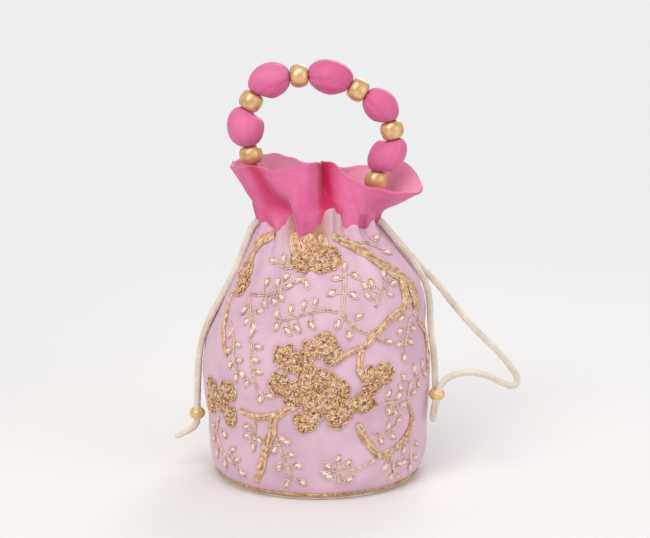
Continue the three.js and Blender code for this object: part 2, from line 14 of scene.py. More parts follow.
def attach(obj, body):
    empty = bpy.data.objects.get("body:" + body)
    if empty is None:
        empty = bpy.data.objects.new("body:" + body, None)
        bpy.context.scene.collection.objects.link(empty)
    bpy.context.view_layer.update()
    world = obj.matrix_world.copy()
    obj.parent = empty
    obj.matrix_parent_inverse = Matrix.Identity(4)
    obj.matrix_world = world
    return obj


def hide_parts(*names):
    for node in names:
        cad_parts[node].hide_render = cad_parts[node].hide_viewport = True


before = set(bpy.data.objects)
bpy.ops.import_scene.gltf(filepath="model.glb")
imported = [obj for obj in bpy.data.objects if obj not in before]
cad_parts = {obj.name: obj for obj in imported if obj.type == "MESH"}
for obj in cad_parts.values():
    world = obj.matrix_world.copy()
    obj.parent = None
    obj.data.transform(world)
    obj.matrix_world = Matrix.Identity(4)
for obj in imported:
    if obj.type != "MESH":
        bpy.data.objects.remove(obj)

# Potli bag: a gathered satin pouch with gold embroidery, a pink frill, a handle of covered balls and
# gold beads, and a cream drawstring on each side. Sizes are in millimetres until a mesh is made.

MM = 0.001
TAU = 2.0 * math.pi
UP = np.array([0.0, 0.0, 1.0])
LEVEL = np.array([1.0, 1.0, 0.0])
ORIGIN = (0.0, 0.0, 0.0)
MIX_COLOUR_INPUTS = (0, 6, 7)
MIX_COLOUR_OUTPUT = 2
WAVE_SCALE = TAU / 20.0
log = logging.getLogger("potli")
Point = Sequence[float]
Table = tuple[tuple[float, ...], ...]
Colour = tuple[float, float, float]
Array = np.ndarray
Piece = bpy.types.Object
Socket = bpy.types.NodeSocket


def linear(red: int, green: int, blue: int) -> Colour:
    """Colour from 0-255 screen values.

    Args:
        red, green, blue: the screen values.
    Returns:
        The same colour as linear light.
    """
    def one(value: int) -> float:
        """Linear light of one value."""
        share = value / 255.0
        return share / 12.92 if share <= 0.04045 else ((share + 0.055) / 1.055) ** 2.4
    return one(red), one(green), one(blue)


def smooth_through(xs: Array, values: Array, x: Array) -> Array:
    """Smooth curve through points, with each slope taken from the point's neighbours.

    Args:
        xs: rising positions.
        values: the value at each position.
        x: where the curve is read.
    Returns:
        The values there, level past both ends.
    """
    x = np.clip(x, xs[0], xs[-1])
    i = np.clip(np.searchsorted(xs, x) - 1, 0, len(xs) - 2)
    before, after = np.maximum(np.arange(len(xs)) - 1, 0), np.minimum(np.arange(len(xs)) + 1, len(xs) - 1)
    slope = (values[after] - values[before]) / (xs[after] - xs[before])
    span = xs[i + 1] - xs[i]
    t = (x - xs[i]) / span
    t2, t3 = t * t, t * t * t
    return ((2 * t3 - 3 * t2 + 1) * values[i] + (t3 - 2 * t2 + t) * span * slope[i]
            + (3 * t2 - 2 * t3) * values[i + 1] + (t3 - t2) * span * slope[i + 1])


def unit(v: Array) -> Array:
    """Vectors at length one along the last axis."""
    return v / np.maximum(np.linalg.norm(v, axis=-1, keepdims=True), 1e-12)


def turns(count: int) -> Array:
    """Even angles, once around."""
    return np.arange(count) * TAU / count


def run_along(line: Array) -> Array:
    """Distance of each point from the first, along a line."""
    return np.concatenate([[0.0], np.cumsum(np.linalg.norm(np.diff(line, axis=0), axis=1))])


def cloth_map(first: Array, second: Array) -> Array:
    """Two coordinates for each point of a grid."""
    return np.stack(np.broadcast_arrays(first, second), axis=-1)


def sweep(line: Array, side: Array, above: Array, reach: Array, turn: Array) -> Array:
    """Rings around a line.

    Args:
        line: the middle of each ring.
        side: where each ring's first corner points.
        above: the direction a quarter turn on.
        reach: radius of each corner.
        turn: the corners' angles.
    Returns:
        The points by ring and corner.
    """
    return (line[:, None, :] + side[..., None, :] * (reach * np.cos(turn))[..., None]
            + above[..., None, :] * (reach * np.sin(turn))[..., None])


def around_table(table: Sequence[Point], key: int, angle: Array) -> Array:
    """Smooth value all the way around, from rows that start with an angle in degrees.

    Args:
        table: the rows.
        key: the column that is read.
        angle: where it is read, in radians.
    Returns:
        The values.
    """
    rows = np.array(table, float)
    step = np.zeros(rows.shape[1])
    step[0] = 360.0
    rows = np.vstack([rows[-2:] - step, rows, rows[:2] + step])
    return smooth_through(rows[:, 0], rows[:, key], np.degrees(angle) % 360.0)


def curve_through(points: Sequence[Point], step: float) -> Array:
    """Even points along a smooth centripetal curve.

    Args:
        points: the chosen points.
        step: distance between the points that are returned.
    Returns:
        An array of points from the first to the last one.
    """
    p = np.array(points, float)
    p = np.vstack([2 * p[0] - p[1], p, 2 * p[-1] - p[-2]])
    dense = []
    for i in range(1, len(p) - 2):
        knots = [0.0]
        for a, b in zip(p[i - 1:i + 2], p[i:i + 3]):
            knots.append(knots[-1] + max(np.linalg.norm(b - a), 1e-9) ** 0.5)
        t0, t1, t2, t3 = knots
        t = np.linspace(t1, t2, 24, endpoint=False)[:, None]
        a1 = (t1 - t) / (t1 - t0) * p[i - 1] + (t - t0) / (t1 - t0) * p[i]
        a2 = (t2 - t) / (t2 - t1) * p[i] + (t - t1) / (t2 - t1) * p[i + 1]
        a3 = (t3 - t) / (t3 - t2) * p[i + 1] + (t - t2) / (t3 - t2) * p[i + 2]
        b1 = (t2 - t) / (t2 - t0) * a1 + (t - t0) / (t2 - t0) * a2
        b2 = (t3 - t) / (t3 - t1) * a2 + (t - t1) / (t3 - t1) * a3
        dense.append((t2 - t) / (t2 - t1) * b1 + (t - t1) / (t2 - t1) * b2)
    line = np.vstack(dense + [p[-2][None, :]])
    run = run_along(line)
    count = max(2, int(round(run[-1] / step)) + 1)
    at = np.linspace(0.0, run[-1], count)
    return np.stack([np.interp(at, run, line[:, k]) for k in range(p.shape[1])], axis=1)


def toward(angle: float) -> Array:
    """Direction at an angle, in the plane."""
    return np.array([math.cos(angle), math.sin(angle)])


class Shell:
    """Points and faces gathered for one mesh, in millimetres."""

    def __init__(self) -> None:
        """Start empty."""
        self.points: list[Array] = []
        self.faces: list[tuple[int, ...]] = []
        self.slots: list[int] = []
        self.maps: list[Array] = []
        self.count = 0

    def add(self, points: Array, faces: Iterable[Sequence[int]], slot: int = 0,
            cloth: Optional[Array] = None) -> None:
        """Add points and the faces between them.

        Args:
            points: an array of points.
            faces: corner numbers counted within these points.
            slot: the material slot of the faces.
            cloth: two coordinates for each point, along the cloth or thread.
        """
        points = np.asarray(points, float).reshape(-1, 3)
        base = self.count
        self.points.append(points)
        self.maps.append(np.zeros((len(points), 2)) if cloth is None else np.asarray(cloth,
                                                                                     float).reshape(-1, 2))
        for face in faces:
            self.faces.append(tuple(int(c) + base for c in face))
            self.slots.append(slot)
        self.count += len(points)

    def add_grid(self, grid: Array, around: bool, closed: bool = False, slot: int = 0,
                 cloth: Optional[Array] = None, caps: bool = False) -> None:
        """Add a grid of rows and columns as four-sided faces.

        Args:
            grid: points by row and column.
            around: the last column joins the first.
            closed: the last row joins the first.
            slot: the material slot.
            cloth: two coordinates for each point.
            caps: close both end rows with one face each.
        """
        rows, columns = grid.shape[:2]
        faces = []
        for j in range(rows if closed else rows - 1):
            for i in range(columns if around else columns - 1):
                a, b = (i, (i + 1) % columns)
                low, high = j * columns, ((j + 1) % rows) * columns
                faces.append((low + a, low + b, high + b, high + a))
        if caps:
            faces.append(tuple(range(columns))[::-1])
            faces.append(tuple(range((rows - 1) * columns, rows * columns)))
        self.add(grid, faces, slot, cloth)

    def add_cord(self, look: "CordLook", line: Array, closed: bool = False, taper: float = 1.0,
                 slot: int = 0) -> None:
        """Add a cord or a thread.

        Args:
            look: how it is twisted.
            line: points along it.
            closed: it joins its own start.
            taper: diameter at its far end as a share.
            slot: the material slot.
        """
        grid, cloth = look.rings(line, closed, taper)
        self.add_grid(grid, around=True, closed=closed, slot=slot, cloth=cloth, caps=not closed)

    def build(self, name: str, materials: Sequence[bpy.types.Material]) -> Piece:
        """Make the object in metres, shaded smooth, with its map in the layer named cloth.

        Args:
            name: the object's name.
            materials: its material slots.
        Returns:
            The new object.
        """
        mesh = bpy.data.meshes.new(name)
        mesh.from_pydata((np.vstack(self.points) * MM).tolist(), [], self.faces)
        for material in materials:
            mesh.materials.append(material)
        mesh.polygons.foreach_set("material_index", np.array(self.slots, np.int32))
        mesh.polygons.foreach_set("use_smooth", np.ones(len(self.faces), bool))
        layer = mesh.uv_layers.new(name="cloth")
        corner = np.zeros(len(mesh.loops), np.int32)
        mesh.loops.foreach_get("vertex_index", corner)
        layer.data.foreach_set("uv", (np.vstack(self.maps) * MM)[corner].astype(np.float32).ravel())
        mesh.validate()
        mesh.update()
        made = bpy.data.objects.new(name, mesh)
        bpy.context.scene.collection.objects.link(made)
        return made


def outward(made: Piece) -> Piece:
    """Turn the faces of a closed mesh outwards.

    Args:
        made: the object.
    Returns:
        The same object.
    """
    work = bmesh.new()
    work.from_mesh(made.data)
    if work.calc_volume(signed=True) < 0:
        bmesh.ops.reverse_faces(work, faces=work.faces)
    work.to_mesh(made.data)
    work.free()
    return made


def spots(made: Piece) -> Array:
    """Places of a mesh's points, in millimetres."""
    return np.array([vertex.co for vertex in made.data.vertices]) / MM


def mark(made: Piece, name: str, values: Array) -> None:
    """Write one number for each point as a named attribute."""
    made.data.attributes.new(name, "FLOAT", "POINT").data.foreach_set("value", values)


def report(made: Piece) -> None:
    """Log a finished piece."""
    log.info("%s: %d faces", made.name, len(made.data.polygons))


def select_ends(made: Piece, level: float) -> None:
    """Select only the faces that look up or down, in edit mode.

    Args:
        made: the object.
        level: how level they have to be, from 0 to 1.
    """
    bpy.ops.mesh.select_all(action="DESELECT")
    work = bmesh.from_edit_mesh(made.data)
    for face in work.faces:
        face.select = abs(face.normal.z) > level
    bmesh.update_edit_mesh(made.data)


class Recipe:
    """Short way to write a material's nodes."""

    def __init__(self, name: str) -> None:
        """Make an empty material with a shader.

        Args:
            name: the material's name.
        """
        self.material = bpy.data.materials.new(name)
        self.material.use_nodes = True
        self.tree = self.material.node_tree
        self.shader = self.tree.nodes["Principled BSDF"]

    def node(self, kind: str, **settings: object) -> bpy.types.Node:
        """Add a node with its settings and the values of its sockets.

        Args:
            kind: the node's type.
            settings: attributes, or sockets written as in_NAME with _ for a space.
        Returns:
            The node.
        """
        made = self.tree.nodes.new(kind)
        for key, value in settings.items():
            if key.startswith("in_"):
                made.inputs[key[3:].replace("_", " ")].default_value = value
            else:
                setattr(made, key, value)
        return made

    def link(self, start: Socket, end: Socket) -> None:
        """Join two sockets."""
        self.tree.links.new(start, end)

    def feed(self, value: object, socket: Socket) -> None:
        """Give a socket a number, a colour or another socket's value.

        Args:
            value: the number, colour or socket.
            socket: what receives it.
        """
        if isinstance(value, Socket):
            self.link(value, socket)
        else:
            socket.default_value = (*value, 1.0) if isinstance(value, tuple) else value

    def place(self, of_cloth: bool) -> Socket:
        """Coordinates: the cloth map, or the object's own place in metres.

        Args:
            of_cloth: the cloth map is wanted.
        Returns:
            The coordinates.
        """
        if of_cloth:
            return self.node("ShaderNodeUVMap", uv_map="cloth").outputs["UV"]
        return self.node("ShaderNodeTexCoord").outputs["Object"]

    def noise(self, where: Socket, scale: float, detail: float = 3.0, rough: float = 0.55) -> Socket:
        """Cloudy pattern.

        Args:
            where: coordinates.
            scale: repeats in a metre.
            detail: how many finer layers.
            rough: how strong they are.
        Returns:
            The pattern's value.
        """
        made = self.node("ShaderNodeTexNoise", in_Scale=scale, in_Detail=detail, in_Roughness=rough)
        self.link(where, made.inputs["Vector"])
        return made.outputs["Fac"]

    def wave(self, where: Socket, scale: float, direction: str, distortion: float = 0.0,
             finer: float = 0.0) -> Socket:
        """Bands across one direction.

        Args:
            where: coordinates.
            scale: band pairs in a metre.
            direction: X, Y, Z or DIAGONAL.
            distortion: how far the bands wander.
            finer: the detail of that wander.
        Returns:
            The bands' value.
        """
        made = self.node("ShaderNodeTexWave", wave_type="BANDS", bands_direction=direction,
                         wave_profile="SIN",
                         in_Scale=scale * WAVE_SCALE, in_Distortion=distortion, in_Detail=finer)
        self.link(where, made.inputs["Vector"])
        return made.outputs["Fac"]

    def ramp(self, value: Socket, stops: Sequence[tuple[float, Colour]]) -> Socket:
        """Colours along a value.

        Args:
            value: the value from 0 to 1.
            stops: places and colours.
        Returns:
            The colour.
        """
        made = self.node("ShaderNodeValToRGB")
        band = made.color_ramp
        while len(band.elements) < len(stops):
            band.elements.new(0.5)
        for element, (at, colour) in zip(band.elements, stops):
            element.position = at
            element.color = (*colour, 1.0)
        self.link(value, made.inputs["Fac"])
        return made.outputs["Color"]

    def mix(self, share: object, first: object, second: object) -> Socket:
        """Blend two colours.

        Args:
            share: a number or a socket.
            first, second: colours or sockets.
        Returns:
            The colour.
        """
        made = self.node("ShaderNodeMix", data_type="RGBA")
        for index, value in zip(MIX_COLOUR_INPUTS, (share, first, second)):
            self.feed(value, made.inputs[index])
        return made.outputs[MIX_COLOUR_OUTPUT]

    def spread(self, value: Socket, low: float, high: float) -> Socket:
        """The value stretched from 0..1 to low..high.

        Args:
            value: the value from 0 to 1.
            low, high: the new ends.
        Returns:
            The stretched value.
        """
        made = self.node("ShaderNodeMapRange", in_To_Min=low, in_To_Max=high)
        self.link(value, made.inputs["Value"])
        return made.outputs["Result"]

    def add(self, *values: Socket) -> Socket:
        """The sum of values.

        Args:
            values: the values.
        Returns:
            Their sum.
        """
        total = values[0]
        for value in values[1:]:
            made = self.node("ShaderNodeMath", operation="ADD")
            self.link(total, made.inputs[0])
            self.link(value, made.inputs[1])
            total = made.outputs[0]
        return total

    def bump(self, height: Socket, distance: float, strength: float = 1.0,
             before: Optional[Socket] = None) -> Socket:
        """Relief from a height.

        Args:
            height: the height from 0 to 1.
            distance: its depth in metres.
            strength: how much of it shows.
            before: relief under it.
        Returns:
            The normal.
        """
        made = self.node("ShaderNodeBump", in_Strength=strength, in_Distance=distance)
        self.link(height, made.inputs["Height"])
        if before is not None:
            self.link(before, made.inputs["Normal"])
        return made.outputs["Normal"]

    def finish(self, colour: object, rough: object, normal: Socket, **fixed: float) -> bpy.types.Material:
        """Wire the shader.

        Args:
            colour: a colour or socket.
            rough: a number or socket.
            normal: the relief.
            fixed: values of other sockets, with _ for a space.
        Returns:
            The material.
        """
        for name, value in (("Base Color", colour), ("Roughness", rough), ("Normal", normal)):
            self.feed(value, self.shader.inputs[name])
        for name, value in fixed.items():
            self.shader.inputs[name.replace("_", " ")].default_value = value
        return self.material


@dataclass(frozen=True)
class Satin:
    """Woven satin: fine warp lines, soft cloudy creases and a sheen; where the fold mark lies a colour is
    mixed in (painted shade in deep folds, and on the lilac wall the gathers' gold stitching darkened as
    painted shade), and painted light is mixed in where the inward-face mark lies.
    """

    name: str
    light: Colour
    deep: Colour
    # fold: painted shade colour for deep folds; on the lilac wall, the brown gold of the stitching in the
    # gathers, darkened as painted shade
    fold: Colour
    # painted light: a lighter tone laid on the inward face of the frill
    painted_inner_light: Colour
    warp_per_metre: float = 2600.0
    sheen: float = 0.25
    roughness: float = 0.46

    def material(self) -> bpy.types.Material:
        """Build the cloth's material.

        Returns:
            The material.
        """
        r = Recipe(self.name)
        cloth = r.place(True)
        solid = r.place(False)
        clouds = r.noise(solid, 28.0, 3.0)
        colour = r.ramp(clouds, [(0.3, self.deep), (0.62, self.light)])
        slubs_at = r.node("ShaderNodeMapping", in_Scale=(1.0, 0.06, 1.0))
        r.link(cloth, slubs_at.inputs["Vector"])
        slubs = r.noise(slubs_at.outputs["Vector"], 1500.0, 2.0)
        colour = r.mix(r.spread(slubs, 0.0, 0.16), colour, self.deep)
        # Painted shade: the colour is mixed toward the fold colour by the fold mark.
        fold_shade_and_gathers_gold = r.node("ShaderNodeAttribute", attribute_name="fold")
        colour = r.mix(fold_shade_and_gathers_gold.outputs["Fac"], colour, self.fold)
        # Painted light: the colour is mixed toward a lighter tone on the marked inward face.
        inside = r.node("ShaderNodeAttribute", attribute_name="painted_inner_light")
        colour = r.mix(inside.outputs["Fac"], colour, self.painted_inner_light)
        warp = r.wave(cloth, self.warp_per_metre, "X")
        weft = r.wave(cloth, self.warp_per_metre * 0.45, "Y")
        creases = r.noise(solid, 95.0, 2.0, 0.5)
        normal = r.bump(creases, 0.0011, 0.55)
        normal = r.bump(r.add(warp, weft, slubs), 0.00006, 0.5, normal)
        rough = r.spread(clouds, self.roughness - 0.05, self.roughness + 0.09)
        return r.finish(colour, rough, normal, Sheen_Weight=self.sheen, Sheen_Roughness=0.35,
                        Specular_IOR_Level=0.42, Anisotropic=0.3)


@dataclass(frozen=True)
class Thread:
    """Gold embroidery thread: a twisted lustre with lighter and browner strands, and painted shade in the
    grooves of the twist.
    """

    name: str
    light: Colour
    middle: Colour
    deep: Colour
    metallic: float = 0.3
    roughness: float = 0.42
    twists_per_metre: float = 900.0

    def material(self) -> bpy.types.Material:
        """Build the thread's material.

        Returns:
            The material.
        """
        r = Recipe(self.name)
        solid = r.place(False)
        along = r.place(True)
        tone = r.noise(solid, 420.0, 2.0)
        colour = r.ramp(tone, [(0.3, self.deep), (0.48, self.middle), (0.68, self.light)])
        twist = r.wave(along, self.twists_per_metre, "DIAGONAL")
        # Painted shade: darker toward the deep tone in the twist's grooves, where the bump is low.
        colour = r.mix(r.spread(twist, 0.3, 0.0), colour, self.deep)
        normal = r.bump(twist, 0.00016, 0.7)
        rough = r.spread(tone, self.roughness - 0.08, self.roughness + 0.12)
        return r.finish(colour, rough, normal, Metallic=self.metallic, Specular_IOR_Level=0.5)


@dataclass(frozen=True)
class Pearl:
    """Lustrous bead: gold or shell coloured, with a clear coat over a slightly uneven skin."""

    name: str
    light: Colour
    deep: Colour
    metallic: float
    roughness: float
    coat: float = 0.5

    def material(self) -> bpy.types.Material:
        """Build the bead's material.

        Returns:
            The material.
        """
        r = Recipe(self.name)
        solid = r.place(False)
        tone = r.noise(solid, 260.0, 3.0)
        colour = r.ramp(tone, [(0.32, self.deep), (0.66, self.light)])
        pits = r.noise(solid, 1500.0, 2.0)
        normal = r.bump(pits, 0.00005, 0.5)
        normal = r.bump(tone, 0.0002, 0.35, normal)
        rough = r.spread(pits, self.roughness - 0.05, self.roughness + 0.1)
        return r.finish(colour, rough, normal, Metallic=self.metallic, Coat_Weight=self.coat,
                        Coat_Roughness=0.18, Specular_IOR_Level=0.5)


@dataclass(frozen=True)
class CordYarn:
    """Cream cotton cord: soft plies with fine fibres, and painted shade in the grooves between plies."""

    name: str
    light: Colour
    deep: Colour

    def material(self) -> bpy.types.Material:
        """Build the cord's material.

        Returns:
            The material.
        """
        r = Recipe(self.name)
        solid = r.place(False)
        along = r.place(True)
        soil = r.noise(solid, 60.0, 3.0)
        colour = r.ramp(soil, [(0.35, self.deep), (0.62, self.light)])
        yarns = r.wave(along, 1100.0, "DIAGONAL", 0.6, 1.0)
        # Painted shade: darker toward the deep tone in the grooves between plies, where the bump is low.
        colour = r.mix(r.spread(yarns, 0.28, 0.0), colour, self.deep)
        fluff = r.noise(solid, 2600.0, 3.0)
        normal = r.bump(yarns, 0.00018, 0.6)
        normal = r.bump(fluff, 0.00008, 0.5, normal)
        return r.finish(colour, 0.72, normal, Sheen_Weight=0.35, Sheen_Roughness=0.5)


@dataclass(frozen=True)
class Backing:
    """Plain woven backing cloth over the stiffened base."""

    name: str
    light: Colour
    deep: Colour

    def material(self) -> bpy.types.Material:
        """Build the backing cloth's material.

        Returns:
            The material.
        """
        r = Recipe(self.name)
        solid = r.place(False)
        colour = r.ramp(r.noise(solid, 45.0, 4.0), [(0.34, self.deep), (0.64, self.light)])
        weave = r.add(r.wave(solid, 900.0, "X", 0.3), r.wave(solid, 900.0, "Y", 0.3))
        normal = r.bump(weave, 0.00012, 0.7)
        return r.finish(colour, 0.82, normal, Sheen_Weight=0.2, Sheen_Roughness=0.5)


class Finish(Enum):
    """The finishes of the bag's pieces."""

    # Lilac satin: its third colour is the brown gold of the stitching in the gathers, darkened as painted
    # shade; its fourth, a painted light tone, is not used since the wall has no inward-face mark.
    LILAC = Satin("lilac_satin", linear(223, 188, 205), linear(209, 170, 189), linear(184, 138, 110),
                  linear(226, 200, 210))
    # Pink satin: its third colour is painted shade for deep folds, its fourth painted light for the inward
    # face.
    PINK = Satin("pink_satin", linear(220, 112, 158), linear(208, 84, 134), linear(200, 36, 92),
                 linear(246, 160, 192),
                 sheen=0.3, roughness=0.5)
    GOLD_THREAD = Thread("gold_thread", linear(250, 222, 178), linear(220, 174, 126), linear(174, 124, 84),
                         metallic=0.12)
    PALE_THREAD = Thread("pale_gold_thread", linear(246, 224, 206), linear(226, 192, 174),
                         linear(198, 158, 140),
                         metallic=0.06)
    SEED = Pearl("seed_pearl", linear(247, 222, 214), linear(234, 200, 200), 0.05, 0.3, 0.5)
    GOLD_BEAD = Pearl("gold_bead", linear(232, 190, 138), linear(204, 156, 104), 0.4, 0.3, 0.7)
    STOPPER = Pearl("stopper_gold", linear(238, 206, 142), linear(212, 170, 104), 0.3, 0.34, 0.5)
    CORD = CordYarn("cream_cord", linear(238, 226, 212), linear(214, 198, 180))
    BACKING = Backing("backing_cloth", linear(226, 210, 199), linear(203, 184, 172))

    def material(self) -> bpy.types.Material:
        """The finish's material, made once.

        Returns:
            The material.
        """
        found = bpy.data.materials.get("of_" + self.value.name)
        if found is None:
            found = self.value.material()
            found.name = "of_" + self.value.name
        return found


@dataclass
class BagForm:
    """Outer face of the filled bag, with its gathers, drapes and creases."""

    profile: Table = (
        (1.9, 64.4), (7.5, 69.0), (16.0, 70.9), (38.0, 71.8), (73.0, 74.4), (98.0, 70.0), (122.0, 63.0),
        (140.0, 54.0), (154.0, 45.0), (166.0, 37.0))
    lean_shift: float = 7.0
    lean_height: float = 131.0
    lean_span: float = 44.0
    pleats: int = 14
    pleat_depth: float = 2.6
    pleat_reach: float = 34.0
    neck_height: float = 166.0
    wall: float = 1.6
    seam_wave: Table = (
        (6, 6), (30, 7), (52, 5), (76, 9), (100, 5), (124, 8), (150, 6), (172, 10), (190, 11), (206, 10.5),
        (218, 8),
        (225, 6.2), (231, 6.2), (237, 9), (243, 12), (248, 9), (253, 4.8), (260, 4.4), (266, 8), (272, 12),
        (286, 14), (300, 11), (316, 9), (334, 8), (350, 6.5))
    creases: Table = (
        (-1.15, 13.5, 26.0, 3.0, 0.9, 0.06), (-1.95, 17.0, 18.0, 3.2, 0.7, -0.1),
        (-2.6, 60.0, 10.0, 3.5, 0.6, 0.5),
        (-0.55, 33.0, 14.0, 3.0, 0.7, -0.3), (-2.35, 118.0, 13.0, 3.4, 0.8, 0.7),
        (-0.75, 128.0, 12.0, 3.2, 0.8, -0.7),
        (0.6, 20.0, 20.0, 3.0, 0.8, 0.1), (1.9, 15.0, 22.0, 3.0, 0.8, -0.06),
        (2.9, 24.0, 16.0, 3.2, 0.7, 0.2),
        (1.3, 121.0, 14.0, 3.4, 0.8, 0.6), (-1.5, 134.0, 9.0, 2.8, 0.6, 0.3))

    def girth(self) -> float:
        """Radius where the bag is widest."""
        return max(radius for _, radius in self.profile)

    def seam(self, angle: Array) -> Array:
        """Height of the seam between the casing and the frill, above the neck."""
        return around_table(self.seam_wave, 1, angle)

    def radius(self, z: Array) -> Array:
        """Radius of the outer face at a height."""
        table = np.array(self.profile)
        return smooth_through(table[:, 0], table[:, 1], np.asarray(z, float))

    def lean(self, z: Array) -> Array:
        """Sideways shift of the middle at a height."""
        u = (np.asarray(z, float) - self.lean_height) / self.lean_span
        return np.where(np.abs(u) < 1, self.lean_shift * np.cos(np.pi * u / 2) ** 2, 0.0)

    def gather(self, angle: Array, z: Array) -> Array:
        """Pleats under the drawstring.

        Args:
            angle, z: places on the cloth.
        Returns:
            How far they stand out.
        """
        rise = np.maximum(0.0, (z - self.neck_height + self.pleat_reach) / self.pleat_reach)
        sharp = np.cos(self.pleats * angle) + 0.28 * np.cos(2 * self.pleats * angle + 0.9)
        fine = np.cos(3 * self.pleats * angle + 1.7 * np.sin(2 * angle))
        return self.pleat_depth * rise ** 1.5 * 0.88 * sharp + 0.5 * rise ** 3 * fine

    def folds(self, angle: Array, z: Array) -> Array:
        """Soft drapes and creases of the filled cloth.

        Args:
            angle, z: places on the cloth.
        Returns:
            How far they stand out.
        """
        top = np.exp(-((z - 138.0) / 17.0) ** 2)
        drape = 0.9 * top * np.sin(9 * angle + 0.9 + 0.03 * z) + 0.6 * top * np.sin(17 * angle - 1.1)
        slack = 0.95 * np.sin(5 * angle + 0.8 + z / 40) * np.sin(z / 19.0 + 0.4)
        ripple = 0.46 * np.sin(13 * angle + z / 8.5) * np.sin(z / 12.0 - 2 * angle)
        ripple += 0.3 * np.sin(23 * angle - z / 6.3 + 1.0) * np.sin(z / 7.7 + 3 * angle)
        low = np.clip((z - 4.0) / 8.0, 0.0, 1.0)
        total = drape + (slack + ripple) * low
        for at, height, wide, tall, depth, tilt in self.creases:
            along = (angle - at) * self.radius(z)
            off = z - height - tilt * along
            total = total + depth * np.exp(-(along / wide) ** 2) * (
                np.exp(-(off / tall) ** 2) - 0.8 * np.exp(-((off + 1.7 * tall) / tall) ** 2))
        return total

    def point(self, angle: Array, z: Array, lift: Array | float = 0.0) -> Array:
        """Point of the outer face, or off it.

        Args:
            angle: around from the right-hand side.
            z: height.
            lift: distance outwards along the radius.
        Returns:
            The points.
        """
        angle, z = np.broadcast_arrays(np.asarray(angle, float), np.asarray(z, float))
        reach = self.radius(z) + self.gather(angle, z) + lift + self.folds(angle, z)
        return np.stack([self.lean(z) + reach * np.cos(angle), reach * np.sin(angle), z], axis=-1)

    def normal(self, angle: Array, z: Array) -> Array:
        """Direction out of the cloth.

        Args:
            angle, z: places on the cloth.
        Returns:
            The directions.
        """
        around = self.point(angle + 0.006, z) - self.point(angle - 0.006, z)
        upward = self.point(angle, z + 0.4) - self.point(angle, z - 0.4)
        return unit(np.cross(around, upward))

    def above(self, angle: Array, z: Array, lift: Array) -> Array:
        """Points at a height off the cloth, for an array of places."""
        return self.point(angle, z) + self.normal(angle, z) * lift[:, None]

    def angle_at(self, across: Array, up: Array, side: int) -> Array:
        """Angle of a place seen from the front, with side -1 at the front and 1 at the back."""
        share = np.clip((np.asarray(across, float) - self.lean(up)) / self.radius(up), -0.999, 0.999)
        return -np.pi / 2 + np.arcsin(share) if side < 0 else np.pi / 2 - np.arcsin(share)


@dataclass
class CordLook:
    """Twisted cord: three soft plies around a smooth line."""

    diameter: float = 4.2
    sides: int = 18
    step: float = 1.1
    plies: int = 3
    lay_length: float = 15.0
    groove: float = 0.17
    taper_length: float = 14.0

    def rings(self, line: Array, closed: bool = False, taper: float = 1.0) -> tuple[Array, Array]:
        """Rings of the cord around its line.

        Args:
            line: points along it.
            closed: the line joins its own start.
            taper: diameter at the last ring as a share.
        Returns:
            The points by ring and corner, and their map along and around the cord.
        """
        if closed:
            way = unit(np.roll(line, -1, axis=0) - np.roll(line, 1, axis=0))
        else:
            way = unit(np.gradient(line, axis=0))
        side = np.cross(way[0], UP)
        if np.linalg.norm(side) < 0.1:
            side = np.cross(way[0], np.array([1.0, 0.0, 0.0]))
        sides = [unit(side)]
        for step_way in way[1:]:
            last = sides[-1] - step_way * np.dot(sides[-1], step_way)
            sides.append(unit(last))
        across = np.array(sides)
        run = run_along(line)
        whole = run[-1] + (np.linalg.norm(line[0] - line[-1]) if closed else 0.0)
        twist = max(1, round(whole / self.lay_length)) / whole
        turn = turns(self.sides)
        phase = turn[None, :] + TAU * twist * run[:, None]
        lobes = np.abs(np.cos(self.plies * phase / 2.0))
        reach = self.diameter / 2 * (1.0 - self.groove + self.groove * 1.35 * lobes ** 0.7)
        if not closed:
            end = np.minimum(run, run[-1] - run) / (self.diameter * 0.45)
            rounded = np.sqrt(np.clip(1.0 - (1.0 - np.clip(end, 0.0, 1.0)) ** 2, 0.05, 1.0))
            near_end = np.clip((run - run[-1] + self.taper_length) / self.taper_length, 0.0, 1.0)
            reach = reach * (rounded * (1.0 - (1.0 - taper) * near_end))[:, None]
        grid = sweep(line, across, np.cross(way, across), reach, turn)
        return grid, cloth_map(run[:, None], turn[None, :] * self.diameter / 2)


